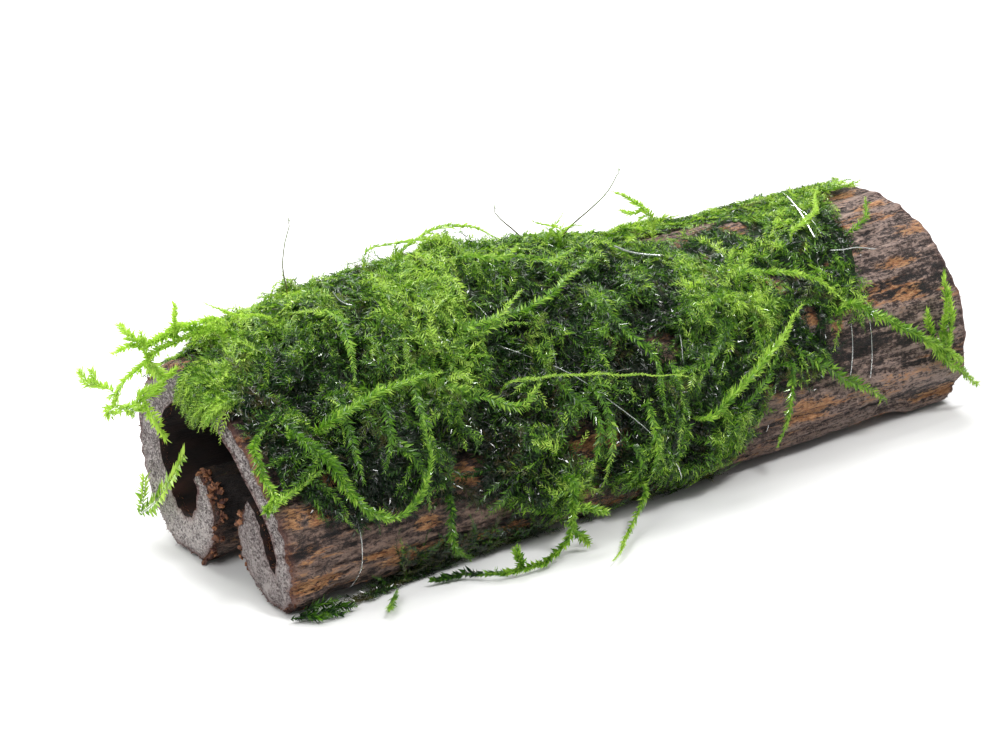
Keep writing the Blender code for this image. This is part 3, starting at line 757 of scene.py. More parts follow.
def make_hollow():
    """The hollow's wall and the two lips that close it to the outside."""
    xs = np.linspace(NEAR_END + HOLLOW_START, FAR_END - HOLLOW_START, HOLLOW_RINGS)
    stations = np.linspace(0.0, LAST_STATION, HOLLOW_STEPS)
    x, station = np.meshgrid(xs, stations, indexing="ij")
    lips = [bark_outside(xs, np.full(HOLLOW_RINGS, float(at)))[0][:, None] for at in (0, LAST_STATION)]
    ring = np.concatenate([lips[0], bark_inside(x, station), lips[1]], axis=1)
    # painted light: red-brown near the near mouth, and on the lips along the slot
    mouth = 0.5 * (1 - ease(-70.0, -62.0, x)) * ease(0.35, 0.7, lattice(x / 4, station * 2.0, 32))
    mouth = np.pad(mouth, ((0, 0), (1, 1)), constant_values=0.3)
    faces = sheet_faces(HOLLOW_RINGS, HOLLOW_STEPS + 2)
    piece("bark_hollow", ring.reshape(-1, 3), [faces], [bark_inside_material()],
          values={"rubbed_and_lit": mouth.ravel()})


RIBBON_BENDS = 3
RIBBON_POINTS = 2 * (RIBBON_BENDS + 1)


def ribbons(starts, ways, sags, lengths, widths, sides):
    """Narrow curved strips, each a start, a direction and a sag: points and quads."""
    t = np.linspace(0.0, 1.0, RIBBON_BENDS + 1)[None, :, None]
    middle = starts[:, None] + ways[:, None] * (lengths[:, None, None] * t)
    middle = middle + sags[:, None] * t**2
    half = widths[:, None, None] * (1.0 - 0.8 * t) * sides[:, None] / 2
    points = np.stack([middle - half, middle + half], axis=2)
    base = np.arange(len(starts))[:, None] * RIBBON_POINTS + 2 * np.arange(RIBBON_BENDS)[None]
    quads = np.stack([base, base + 1, base + 3, base + 2], axis=-1).reshape(-1, 4)
    return points.reshape(-1, 3), quads


def keep_inside(points):
    """Nothing below the ground, and nothing far past the sawn ends."""
    points[:, 2] = np.maximum(points[:, 2], 0.05)
    points[:, 0] = np.clip(points[:, 0], NEAR_END - 0.8, FAR_END + 0.8)
    return points


FIBRE_COUNT = 5200
FIBRE_ROOT = 0.12          # how deep in the bark a fibre starts


def make_bark_fibres():
    """Torn fibres along the sawn rims and on the rubbed ridges."""
    rng = np.random.default_rng(11)
    count = FIBRE_COUNT
    at_rim = rng.random(count) < 0.6
    near = rng.random(count) < 0.62
    station = rng.uniform(0.1, LAST_STATION - 0.1, count)
    x_rim = np.where(near, NEAR_END + rng.uniform(0.8, 1.8, count), FAR_END - rng.uniform(0.8, 1.8, count))
    x = np.where(at_rim, x_rim, rng.uniform(-69, 69, count))
    outer, _, rubbed_and_lit = bark_outside(x, station)
    inside = at_rim & (rng.random(count) < 0.25)
    sunk = np.where(at_rim, 0.15, 0.0)[:, None] * rim_rounding(np.full(count, NEAR_END + RIM_START), station)
    outer = outer - rim_rounding(x, station) - sunk
    out = out_of_bark(station)
    start = np.where(inside[:, None], bark_inside(x, station), outer - FIBRE_ROOT * out)
    out = np.where(inside[:, None], -out, out)
    past_rim = np.where(near, -1.0, 1.0) * rng.uniform(0.0, 0.8, count)
    along_x = np.where(at_rim, past_rim, rng.choice([-1.0, 1.0], count))
    stand_out = np.where(at_rim, np.where(near, 0.5, 0.1), 0.22) * rng.uniform(0.4, 1.3, count)
    astray = [rng.normal(0, 0.3, count) for _ in range(2)]
    way = unit(out * stand_out[:, None] + np.stack([along_x, *astray], axis=-1))
    keep = (at_rim | (rubbed_and_lit > 0.2)) & (start[:, 2] > 0.5) & (~at_rim | near | (rng.random(count) < 0.35))
    length = np.where(at_rim, rng.uniform(0.2, 0.6, count), rng.uniform(0.6, 2.6, count))
    width = np.where(at_rim, rng.uniform(0.14, 0.32, count), rng.uniform(0.10, 0.30, count))
    sag = rng.normal(0, 0.14, (count, 3)) * length[:, None]
    side = unit(np.cross(way, rng.normal(0, 1, (count, 3))))
    points, quads = ribbons(*(v[keep] for v in (start, way, sag, length, width, side)))
    tone = np.where(at_rim, rng.uniform(0.0, 0.4, count), rng.uniform(0.35, 1.0, count))[keep]
    piece("bark_fibres", keep_inside(points), [quads], [fibre_material()],
          values={"tone": np.repeat(tone, RIBBON_POINTS)})


# Crumpled lumps of torn bark inside the mouth: (x, station, how many, how far they spread, radius)
TORN_PLACES = ((-68.6, 0.35, 16, 0.5, 0.75), (-68.3, 1.9, 13, 0.4, 0.75), (-69.3, 25.6, 9, 0.3, 0.55),
               (-69.1, 3.3, 8, 0.35, 0.6), (-69.2, 24.2, 9, 0.5, 0.5))
LUMP_RINGS = 7
LUMP_SIDES = 10


def make_torn_lips():
    """Orange-brown crumbs of bark where the rolled edges broke, each a folded, hollowed flake."""
    rng = np.random.default_rng(13)
    parts = []
    for x, station, count, spread_out, radius in TORN_PLACES:
        xs = np.clip(x + rng.normal(0, spread_out, count), NEAR_END + RIM_START, 0)
        stations = np.clip(station + rng.normal(0, 0.35, count), 0.1, LAST_STATION - 0.1)
        for place in bark_outside(xs, stations)[0]:
            points, faces = ball(np.zeros(3), radius * rng.uniform(0.45, 1.0), LUMP_RINGS, LUMP_SIDES)
            spots = 3.1 * points + rng.uniform(0, 40, 3)
            dents = lattice(spots[:, 0] + spots[:, 2], spots[:, 1] - spots[:, 2], 33)
            points = points * (0.45 + 0.95 * dents)[:, None] * np.array([1.0, 0.55, 1.0])
            turn, _ = np.linalg.qr(rng.normal(0, 1, (3, 3)))
            tone = np.clip(rng.uniform(-0.1, 0.4) + (dents - 0.5), 0, 1)
            parts.append((points @ turn + place, faces, {"tone": tone}))
    points, quads, values = join(parts)
    piece("torn_lips", keep_inside(points), [quads], [fibre_material()], values=values, smooth=False)


# Moss: leafy shoots, made all at once from arrays of paths

LEAF_STEP = 0.40
STEM_STEP = 4              # how many nodes one straight length of stem spans
GROUND_CLEAR = 0.04
# Leaves, in degrees or as shares of their own length or width
LEAF_CLOSING = 16.0        # how much less the youngest leaves open
LEAF_BEND = 0.14
LEAF_FOLD = 0.24
LEAF_MIDDLE = 0.33
LEAF_BASE = 0.15
LEAF_SPECKLE = 0.14        # how much brightness varies from leaf to leaf
# The roll of each rank of leaves in degrees, and its share of their length
FLAT_RANKS = ((10.0, 1.0),)
BUSHY_RANKS = ((4.0, 1.0), (60.0, 0.8))


def leafy(paths, flats, lengths, tones, olds, rng, leaf=1.0, slim=0.27, open_angle=62.0, stem=0.07,
          flutter=17.0, ranks=FLAT_RANKS, taper=0.55, simple=False):
    """Shoots with ranks of leaves to both hands. paths is (shoots, nodes, 3), flats the normals of their flat
    sides, lengths how many nodes each shoot has. A simple leaf is one triangle, the others are folded along
    their middle. Gives points, triangles and the values tone, age and old."""
    grid = paths.shape[:2]
    ahead = unit(np.gradient(paths, axis=1))
    side = unit(np.cross(ahead, flats))
    up = np.cross(side, ahead)
    number = np.broadcast_to(np.arange(grid[1]), grid)
    age = number / np.maximum(lengths[:, None] - 1, 1)
    small = np.broadcast_to((0.75 + 0.25 * ease(4, 18, lengths))[:, None], grid)
    shade = np.broadcast_to(tones[:, None] if tones.ndim == 1 else tones, grid)
    worn = np.broadcast_to(olds[:, None], grid)
    alive = number < lengths[:, None]
    p, a, s, u, g = paths[alive], ahead[alive], side[alive], up[alive], age[alive]
    count = len(p)
    corners = 3 if simple else 4
    index = corners * np.arange(count)[:, None]
    faces = index + [0, 1, 2]
    if not simple:
        faces = np.concatenate([faces, index + [0, 2, 3]])
    parts = []
    for rank, (roll_to, share) in enumerate(ranks):
        for hand in (-1.0, 1.0):
            turn = np.radians(open_angle - LEAF_CLOSING * g + rng.normal(0, 8, count))
            roll = np.radians(rng.normal(roll_to, flutter, count))
            way = np.cos(turn)[:, None] * a + np.sin(turn)[:, None] * (
                hand * np.cos(roll)[:, None] * s + np.sin(roll)[:, None] * u)
            full = (0.55 + 0.45 * ease(0.0, 0.18, g)) * (1.0 - taper * ease(0.6, 1.0, g))
            long = leaf * share * full * rng.uniform(0.75, 1.25, count) * small[alive]
            wide = slim * long * rng.uniform(0.85, 1.15, count)
            across = unit(a - way * np.sum(a * way, axis=1, keepdims=True))
            lift = np.cross(way, across) * hand
            twist = rng.normal(0, 0.5, count)[:, None]
            cos, sin = np.cos(twist), np.sin(twist)
            across, lift = cos * across + sin * lift, cos * lift - sin * across
            base = p + a * (LEAF_STEP * (0.25 * hand + 0.4 * rank))
            bend = (LEAF_BEND * long)[:, None]
            tip = base + way * long[:, None] - lift * bend + a * bend
            half = across * wide[:, None] / 2
            if simple:
                blade = [base - half, base + half + way * (LEAF_BASE * long)[:, None], tip]
            else:
                middle = base + way * (LEAF_MIDDLE * long)[:, None]
                fold = lift * (LEAF_FOLD * wide)[:, None]
                blade = [base, middle + half + fold, tip, middle - half + fold]
            values = {"tone": shade[alive] + rng.normal(0, LEAF_SPECKLE, count), "age": g, "old": worn[alive]}
            values = {key: np.repeat(numbers, corners) for key, numbers in values.items()}
            parts.append((np.stack(blade, axis=1).reshape(-1, 3), faces, values))
    parts.append(stems(paths, side, up, lengths, age, shade, olds, stem, simple))
    points, triangles, values = join(parts)
    points[:, 2] = np.maximum(points[:, 2], GROUND_CLEAR)
    return points, triangles, values


def stems(paths, side, up, lengths, age, shade, olds, stem, simple):
    """The shoots' stems, thinner towards their tips: three-sided, or flat if simple."""
    nodes = paths.shape[1]
    row, first = np.meshgrid(np.arange(len(paths)), np.arange(0, nodes - 1, STEM_STEP), indexing="ij")
    last = np.minimum(np.minimum(first + STEM_STEP, nodes - 1), lengths[:, None] - 1)
    pick = last > first
    row, first, last = row[pick], first[pick], last[pick]
    turns = (0.0, math.pi) if simple else (0.5, 2.6, 4.7)
    sides = len(turns)
    rings = []
    for place in (first, last):
        radius = (stem * (1.0 - 0.5 * age[row, place]))[:, None]
        for turn in turns:
            out = math.cos(turn) * side[row, place] + math.sin(turn) * up[row, place]
            rings.append(paths[row, place] + radius * out)
    index = 2 * sides * np.arange(len(row))[:, None]
    triangles = []
    for here in range(1 if simple else sides):
        beside = (here + 1) % sides
        triangles.append(index + [here, beside, sides + beside])
        triangles.append(index + [here, sides + beside, sides + here])
    values = {"tone": shade[row, first] - 0.05, "age": age[row, first], "old": np.maximum(olds[row], 0.25)}
    values = {key: np.repeat(numbers, 2 * sides) for key, numbers in values.items()}
    return np.stack(rings, axis=1).reshape(-1, 3), np.concatenate(triangles), values


def leafy_piece(name, made, surface, replaced=()):
    """A piece of what leafy makes."""
    points, triangles, values = made
    piece(name, points, [triangles], [surface], replaced, values, smooth=False)


def station_length(station):
    """Millimetres round the bark for one station."""
    return np.linalg.norm(round_skin(station), axis=-1) / (2 * SHORT)


def wander(rng, x, station, heading, pull_to, pull, lengths, bend, jitter):
    """Paths over the bark, all grown at once: arrays of x and station for each node."""
    nodes = int(lengths.max())
    xs, stations = np.zeros((len(x), nodes)), np.zeros((len(x), nodes))
    for i in range(nodes):
        xs[:, i], stations[:, i] = x, station
        turn = bend + rng.normal(0, jitter, len(x)) + pull * np.sin(pull_to - heading)
        heading = heading + turn * LEAF_STEP
        x = x + np.cos(heading) * LEAF_STEP
        station = station + np.sin(heading) * LEAF_STEP / station_length(station)
    return xs, stations


DIP_SHARE = 0.36           # share of the moss's thickness that is left in its dips, and how much more on top
DIP_FILLED_ON_TOP = 0.36


def moss_body(x, station):
    """Height of the tangle's own surface: full on its clumps, low in the dips between them."""
    least = DIP_SHARE + DIP_FILLED_ON_TOP * (1 - ease(0.8, 2.2, np.abs(station - 12.4)))
    return moss_thickness(x, station) * (least + (1 - least) * ease(0.30, 0.62, clumps(x, station)))


def clumps(x, station):
    """1 in the middle of a clump of moss and 0 in the dips between clumps."""
    return (0.6 * lattice(x / 7.0 + 0.6 * station, station * 0.9, 61)
            + 0.4 * lattice(x / 2.8, station * 2.2, 62))


# Brightness of the moss: everywhere, and what is added at the near end, there where it is high, on the top as
# painted backlight, towards the far end, by its slow drift, and in the shaded middle of the front as painted
# shade
TONE_BASE = 0.10
TONE_NEAR = 0.02
TONE_NEAR_HIGH = 0.20
TONE_PAINTED_TOP_LIGHT = 0.22
TONE_TOP_FAR = -0.01
TONE_FAR = 0.12
TONE_DRIFT = 0.64
TONE_SHADED = -0.48


def moss_tone(x, station):
    """How bright the moss is at a place: pale at the near end, pale on top with painted backlight, dark on the
    middle of the front with painted shade.
    """
    near = 1 - ease(-70.0, -36.0, x)
    # painted backlight along the top
    top = 1 - ease(0.6, 2.6, np.abs(station - 12.6))
    far = ease(6.0, 30.0, x)
    drift = lattice(x / 9.0, station * 0.8, 63) - 0.5
    high = 1 - ease(14.6, 16.4, station)
    # painted shade over the middle of the front
    shaded = np.exp(-(((x + 55.0) / 14.0) ** 2) - ((station - 16.7) / 1.4) ** 2)
    return (TONE_BASE + (TONE_NEAR + TONE_NEAR_HIGH * high) * near + (TONE_PAINTED_TOP_LIGHT + TONE_TOP_FAR * far) * top
            + TONE_FAR * far + TONE_DRIFT * drift + TONE_SHADED * shaded)


def hang_heading(x, station):
    """The way a shoot hangs: down the front, down the back, and along the top towards the nearer end."""
    along_top = np.where(x < -30, math.pi, 0.3)
    not_front = np.where(station < 11.6, -math.pi / 2, along_top)
    return np.where(station > 14.6, math.pi / 2, not_front)


def scatter(rng, count):
    """Places over the moss, as x and station, denser where it is thick."""
    tried = 3 * count
    x = rng.uniform(NEAR_END + 0.5, 62.0, tried)
    back, front = moss_hems(x)
    station = back + (front - back) * rng.random(tried)
    keep = rng.random(tried) < 0.25 + 0.75 * ease(0.8, 4.0, moss_thickness(x, station))
    keep &= rng.random(tried) < 0.45 + 0.55 * ease(0.35, 0.60, clumps(x, station))
    keep &= (station > 11.0) | (rng.random(tried) < 0.7)
    keep &= ~bare_patch(x, station)
    return x[keep][:count], station[keep][:count]


OFF_GROUND = 0.4           # how high a stem stays off the ground
BEND_SPREAD = 0.07         # how much shoots curl to one side, in radians a millimetre
OLD_SHARE = 0.06


def surface_shoots(rng, count, nodes, low, high, painted_depth_light, tip_lift, tilt, jitter, pull, **look):
    """A layer of shoots between two shares of the tangle's height: the shoots, and their leaves. nodes, low and
    high are each a least and a most."""
    x, station = scatter(rng, count)
    count = len(x)
    lengths = rng.integers(*nodes, count)
    heading = rng.uniform(0, 2 * math.pi, count)
    xs, stations = wander(rng, x, station, heading, hang_heading(x, station), pull, lengths,
                          rng.normal(0, BEND_SPREAD, count), jitter)
    hem = moss_hems(xs)[1] + rng.uniform(-0.5, 0.5, count)[:, None]
    bare = bare_patch(xs, stations) & (rng.random((count, 1)) < 0.85)
    over = (xs < NEAR_END + 0.2) | (stations > hem) | bare
    cut = np.maximum(np.minimum(over.argmax(axis=1), lengths), 3)
    lengths = np.where(over.any(axis=1), cut, lengths)
    part = np.clip(np.arange(xs.shape[1])[None] / lengths[:, None], 0, 1)
    body = moss_body(xs, stations)
    body = np.maximum(body, 0.6 * moss_body(x, station)[:, None] * (1 - part))
    start, end = rng.uniform(*low, count), rng.uniform(*high, count)
    share = start[:, None] + (end - start)[:, None] * np.sin(part * math.pi * 0.5)
    tip = tip_lift * rng.random(count)[:, None] * part**3 * np.minimum(0.15 + 0.4 * body, 1.0)
    height = 0.12 + 0.25 * np.minimum(body / 2.0, 1.0) + body * share + tip
    paths = skin(xs, stations, height)
    paths[..., 0] = np.maximum(paths[..., 0], NEAR_END - 0.6)
    paths[..., 2] = np.maximum(paths[..., 2], OFF_GROUND)
    flats = unit(out_of_bark(stations) + rng.normal(0, tilt, (count, 1, 3)))
    deep = body / np.maximum(moss_thickness(xs, stations), 0.3)
    tones = moss_tone(x, station)[:, None] + rng.normal(0, 0.12, (count, 1))
    # painted shade and light by depth: shoots low in the tangle and in the dips between clumps are darker,
    # higher layers brighter
    tones = tones + 0.75 * (deep * share - 0.72) + painted_depth_light
    olds = (rng.random(count) < OLD_SHARE) * rng.uniform(0.3, 0.9, count)
    shoots = (paths, flats, lengths, tones, olds)
    return shoots, leafy(*shoots, rng, **look)


def side_branches(rng, paths, flats, lengths, tones, olds, every, reach, **look):
    """Branches to either side of each shoot, shorter towards its tip."""
    shoots, nodes = paths.shape[:2]
    ahead = unit(np.gradient(paths, axis=1))
    side = unit(np.cross(ahead, flats))
    row, place = np.meshgrid(np.arange(shoots), np.arange(3, nodes, every), indexing="ij")
    row, place = row.ravel(), (place + rng.integers(-1, 2, place.shape)).ravel()
    keep = (place < lengths[row] - 3) & (rng.random(len(row)) < 0.85)
    row, place = row[keep], place[keep]
    hand = np.where((place // every) % 2 == 0, 1.0, -1.0)
    part = place / lengths[row]
    long = reach * (1.0 - 0.65 * part) * rng.uniform(0.5, 1.15, len(row))
    count = np.maximum((long / LEAF_STEP).astype(int), 3)
    top = int(count.max())
    turn = np.radians(rng.normal(50, 9, len(row)))
    way = np.cos(turn)[:, None] * ahead[row, place] + (hand * np.sin(turn))[:, None] * side[row, place]
    way = unit(way + flats[row, place] * rng.normal(0.10, 0.22, len(row))[:, None])
    t = np.arange(top)[None, :, None] * LEAF_STEP
    inward = ahead[row, place] * rng.uniform(0.0, 0.05, len(row))[:, None]
    made = paths[row, place][:, None] + way[:, None] * t + inward[:, None] * t**2 * 0.5
    made[..., 2] = np.maximum(made[..., 2], OFF_GROUND)
    flat = np.repeat(flats[row, place][:, None], top, axis=1)
    tone = tones[row] if tones.ndim == 1 else tones[row, place]
    return leafy(made, flat, count, tone + 0.06, olds[row], rng, **look)


# Where the bark shows through the moss: (x, station, half length, half width in stations)


BARE_PATCHES = (
    (6.5, 16.2, 3.2, 0.45), (33.5, 15.5, 2.2, 0.35), (37.5, 16.6, 1.6, 0.3), (42.3, 17.0, 1.8, 0.25),
    (-36.5, 17.8, 4.0, 0.5), (-67.4, 12.3, 3.2, 0.7), (-70.6, 16.0, 3.8, 1.7), (-59.0, 16.9, 2.2, 0.35),
    (-14.8, 17.9, 3.4, 0.55), (-8.0, 17.9, 3.2, 0.55), (38.0, 13.4, 2.4, 0.3),
    (28.0, 12.7, 8.0, 0.4),
)


def bare_patch(x, station):
    """Where the bark shows through the moss."""
    gap = np.zeros(np.shape(x), bool)
    for at_x, at_station, long, wide in BARE_PATCHES:
        gap |= ((x - at_x) / long) ** 2 + ((station - at_station) / wide) ** 2 < 1.0
    return gap


FELT_COLUMNS = 170
FELT_ROWS = 70


def make_felt():
    """The tangle close to the bark, dark with painted shade, left open where the bark shows through."""
    xs = np.linspace(NEAR_END + 1.0, MAT_FAR - 3.0, FELT_COLUMNS)
    back, front = moss_hems(xs)
    u = np.linspace(0.0, 1.0, FELT_ROWS)
    x = np.repeat(xs[:, None], FELT_ROWS, 1)
    station = back[:, None] + (front - back)[:, None] * u[None]
    lumps = lattice(x / 2.2, station * 2.6, 51) * 0.6 + lattice(x / 1.1, station * 5.0, 52) * 0.4
    height = moss_body(x, station) * (0.20 + 0.45 * lumps)
    edge = np.minimum(np.minimum(u, 1 - u)[None] * 12.0, 1.0)
    points = skin(x, station, -0.3 + (0.3 + height) * edge)
    faces = sheet_faces(FELT_COLUMNS, FELT_ROWS)
    open_face = bare_patch(x, station).ravel()[faces].any(axis=1)
    thin = lattice(x / 4.0, station * 1.5, 53) + 0.5 * lattice(x / 1.8, station * 3.5, 54) < 0.62
    open_face |= (thin & (moss_thickness(x, station) < 3.2)).ravel()[faces].all(axis=1)
    ends = np.maximum(ease(MAT_FAR - 15.0, MAT_FAR - 4.0, x), ease(0.84, 0.98, np.abs(2 * u - 1))[None])
    ragged = lattice(x / 1.4, station * 4.5, 55) < 1.2 * ends
    open_face |= ragged.ravel()[faces].any(axis=1)
    faces = faces[~open_face][:, ::-1]
    piece("moss_felt", points.reshape(-1, 3), [faces], [felt_material()], ["moss_mat"])


# The close layers: name, how many shoots, the share of the tangle's height at their roots and at their tips,
# and how much brighter they are than the moss there: painted shade deep in the tangle, painted light on top
CLOSE_LAYERS = (
    ("moss_deep", 1500, (0.15, 0.45), (0.35, 0.75), -0.20),
    ("moss_tangle", 3300, (0.4, 0.8), (0.75, 1.02), -0.08),
    ("moss_crest", 3300, (0.6, 0.9), (0.85, 1.08), 0.05),
)


def make_moss(surface):
    """The tangle: close layers, short sprigs, and longer shoots with side branches lying over them."""
    rng = np.random.default_rng(7)
    for name, count, low, high, painted_depth_light in CLOSE_LAYERS:
        _, made = surface_shoots(rng, count, (10, 30), low, high, painted_depth_light, tip_lift=0.4, tilt=0.6,
                                 jitter=0.20, pull=0.03, simple=True)
        leafy_piece(name, made, surface)
    _, made = surface_shoots(rng, 1150, (6, 16), (0.7, 0.95), (0.95, 1.1), 0.30, tip_lift=1.5, tilt=0.6,
                             jitter=0.12, pull=0.05, leaf=1.05)
    leafy_piece("moss_sprigs", made, surface)
    shoots, made = surface_shoots(rng, 460, (22, 48), (0.5, 0.85), (0.9, 1.12), 0.22, tip_lift=1.4, tilt=0.35,
                                  jitter=0.10, pull=0.06, leaf=1.1)
    twigs = side_branches(rng, *shoots, every=7, reach=3.6, leaf=1.05)
    leafy_piece("moss_shoots", join([made, twigs]), surface)


FRINGE_COUNT = 300
FRINGE_NODES = 24
FRINGE_DROP = 5.4          # how far the longest lobe hangs down past the rim


def make_near_fringe(surface):
    """Lobes of moss that hang over the near sawn face, above the mouth of the hollow."""
    rng = np.random.default_rng(17)
    count, nodes = FRINGE_COUNT, FRINGE_NODES
    lengths = rng.integers(nodes // 2, nodes + 1, count)
    station = rng.uniform(13.15, 14.6, count)
    lobe = (0.80 + 0.20 * ease(13.0, 13.7, station)) * (1 - 0.8 * ease(14.0, 14.7, station))
    start_x = rng.uniform(-69.4, -65.5, count)
    part = np.clip(np.arange(nodes)[None] / lengths[:, None], 0, 1)
    over = NEAR_END - rng.uniform(0.3, 2.4, count)
    x = start_x[:, None] + (over - start_x)[:, None] * np.sin(part * math.pi / 2)
    thick = moss_thickness(-69.0, station)[:, None] * rng.uniform(0.3, 1.0, (count, 1))
    drop = (0.4 + FRINGE_DROP * lobe * rng.uniform(0.2, 1.0, count) ** 0.6)[:, None]
    height = thick - (thick + drop) * ease(0.35, 1.0, part)
    stations = station[:, None] + rng.normal(0, 0.25, count)[:, None] * part
    paths = skin(x, stations, height)
    flats = unit(np.array([-0.8, -0.2, 0.6]) + rng.normal(0, 0.4, (count, 1, 3)) + np.zeros((1, nodes, 1)))
    tones = 0.66 + rng.normal(0, 0.16, count)
    made = leafy(paths, flats, lengths, tones, np.zeros(count), rng, leaf=0.75)
    leafy_piece("moss_near_fringe", made, surface)


def clinging_tangle(rng, count):
    """Dark thin shoots that cling to the bark under the front hem, darkened as painted shade."""
    x = np.where(rng.random(count) < 0.75, rng.uniform(-50, -20, count), rng.uniform(-12, 12, count))
    station = np.where(x < -15, rng.uniform(20.2, 22.2, count), rng.uniform(20.4, 21.6, count))
    lengths = rng.integers(8, 26, count)
    xs, stations = wander(rng, x, station, rng.uniform(0, 2 * math.pi, count), np.zeros(count), 0.02, lengths,
                          rng.normal(0, BEND_SPREAD, count), 0.25)
    part = np.clip(np.arange(xs.shape[1])[None] / lengths[:, None], 0, 1)
    paths = skin(xs, stations, 0.1 + rng.uniform(0.2, 1.3, count)[:, None] * np.sin(part * math.pi * 0.5))
    paths[..., 2] = np.maximum(paths[..., 2], OFF_GROUND)
    flats = unit(out_of_bark(stations) + rng.normal(0, 0.5, (count, 1, 3)))
    # painted shade: dark tones under the front hem
    tones = rng.normal(0.10, 0.14, count)
    return leafy(paths, flats, lengths, tones, (rng.random(count) < 0.3) * 0.6, rng, leaf=0.85, simple=True)


def lying_tangle(rng, count, nodes):
    """Dark thin shoots that lie on the ground beside the near end of the front foot, darkened as painted shade.
    """
    lengths = rng.integers(8, nodes + 1, count)
    heading = rng.choice([0.0, math.pi], count) + rng.normal(0, 0.35, count)
    along = (np.arange(nodes)[None] * LEAF_STEP) * np.ones((count, 1))
    bend = rng.normal(0, 0.05, (count, 1)) * along
    x = rng.uniform(-58, -40, count)
    y = -21.4 + 1.6 * ease(-56, -48, x) + rng.uniform(-0.9, 0.9, count)
    x = x[:, None] + np.cos(heading[:, None] + bend) * along
    y = y[:, None] + 0.3 * np.sin(heading[:, None] + bend) * along
    z = 0.3 + rng.uniform(0.1, 1.0, count)[:, None] * np.sin(along / 3.0)
    paths = np.stack([x, np.clip(y, -23.6, -18.0), np.maximum(z, 0.3)], axis=-1)
    flats = unit(np.array([0.0, -0.3, 1.0]) + rng.normal(0, 0.4, (count, nodes, 3)))
    # painted shade: dark tones on the ground by the foot
    return leafy(paths, flats, lengths, rng.normal(0.05, 0.10, count), (rng.random(count) < 0.4) * 0.7, rng,
                 leaf=0.85, simple=True)


CLINGING_COUNT = 330
LYING_COUNT = 60
LYING_NODES = 18


def make_under_tangle(surface):
    """The dark tangle below the front hem, on the bark and on the ground: its darkness is painted shade."""
    rng = np.random.default_rng(19)
    clinging = clinging_tangle(rng, CLINGING_COUNT)
    lying = lying_tangle(rng, LYING_COUNT, LYING_NODES)
    leafy_piece("moss_under", join([clinging, lying]), surface)


# The long shoots, one by one: (x, station, height over the moss or the bare bark)

LAID_SHOOTS = {
    "shoot_front_loop": [(-64, 16.0, 2.6), (-61.5, 16.9, 3.4), (-59, 17.8, 4.6), (-55, 18.25, 5.0),
                         (-50, 18.15, 5.0), (-46, 17.5, 4.2), (-44.5, 16.6, 2.8)],
    "shoot_bright_cross": [(-59, 16.0, 2.2), (-48, 15.75, 3.4), (-38.5, 15.75, 3.2)],
    "shoot_long_straight": [(-26.5, 16.35, 0.9), (-19.5, 16.6, 3.0), (-12, 16.9, 4.8), (4, 17.3, 3.6)],
    "shoot_near_loop": [(-66, 15.45, -0.6), (-69, 15.75, 0.9), (-70, 16.5, 1.7), (-69.6, 17.0, 2.2),
                        (-72.3, 17.3, 2.3), (-69.4, 17.2, 2.2), (-65.7, 17.0, 0.8), (-61.6, 16.85, 0.5)],
    "shoot_plume": [(7, 18.2, 2.4), (15, 17.7, 2.8), (21, 17.35, 3.2), (31.5, 16.6, 3.6)],
    "shoot_far_runner": [(26, 15.3, 2.2), (31, 15.5, 2.8), (37.5, 16.0, 3.0), (42.75, 16.9, 3.2)],
    "shoot_far_top": [(43.0, 14.5, 2.2), (49.5, 14.2, 2.4), (55.5, 13.4, 1.8)],
    "shoot_far_sprig": [(54.5, 14.9, 1.4), (58, 14.7, 2.0), (61.5, 14.2, 2.4)],
    "shoot_hanging_far": [(26.5, 17.7, 3.4), (24.6, 18.6, 4.0), (23.2, 19.6, 3.6)],
    "shoot_hanging_near": [(-42, 18.6, 2.4), (-42, 19.6, 3.0), (-38.5, 20.3, 3.0)],
}
# The shoots that stand free: (x, y, z)
FREE_SHOOTS = {
    "shoot_end_spray": [(-62.5, 7.8, 36.0), (-69, 8, 36.0), (-74.5, 8, 34.5), (-79, 7.8, 32.0),
                        (-81.5, 7.8, 28.5)],
    "shoot_end_ladder": [(-72.1, 17.2, 4.6), (-72.1, 10.4, 10.7), (-72.1, 3.2, 19.6)],
    "shoot_end_top": [(-54.6, 6, 36.6), (-59.6, 6.8, 38.2), (-62.5, 7, 39.5), (-65.5, 7.2, 41.5)],
    "shoot_stalk_tall": [(-48.1, 9, 33.8), (-49.9, 9, 41.8), (-49.5, 9, 46.2), (-48.7, 9, 50.1)],
    "shoot_top_arc": [(-28.0, 8, 41.2), (-24.6, 8, 42.9), (-20.8, 8, 43.8), (-16.8, 8, 43.2),
                      (-12.8, 8, 41.8), (-9.2, 8, 39.4)],
    "shoot_stalk_fine": [(-0.5, 11.6, 35.7), (-2.5, 13, 38.3), (-6.0, 13, 42.1)],
    "shoot_stalk_far": [(6.3, 11, 35.3), (9.7, 11, 37.9), (14.6, 11, 40.5), (18.4, 11, 44.3)],
    "shoot_top_sprig": [(23.4, 7.6, 33.6), (22.6, 8, 37.0), (20.2, 8, 39.4), (14.8, 8, 42.6)],
    "shoot_far_tip": [(42, -22.0, 25.4), (46, -23.4, 23.2), (52, -24.0, 19.6), (57.5, -24.4, 16.0),
                      (61, -24.4, 12.6), (65.5, -24.2, 9.0), (71, -23.6, 4.6)],
    "shoot_ground_loop": [(-22.5, -28.4, 13.2), (-21.7, -28.2, 8.2), (-23.4, -28.2, 2.6), (-29.0, -29.3, 1.4),
                          (-35.8, -28.8, 1.4), (-38.8, -26.2, 1.2)],
    "shoot_ground_front": [(-6.0, -26.6, 6.4), (-11.6, -29.6, 2.2), (-19.4, -35.4, 1.3)],
    "shoot_ground_tip": [(-52.4, -24.0, 1.3), (-57.4, -28.8, 1.3)],
    "shoot_ground_near": [(-70.0, -21.6, 0.9), (-67.0, -22.4, 1.0), (-63.5, -22.6, 1.0), (-60.4, -22.2, 1.0)],
}
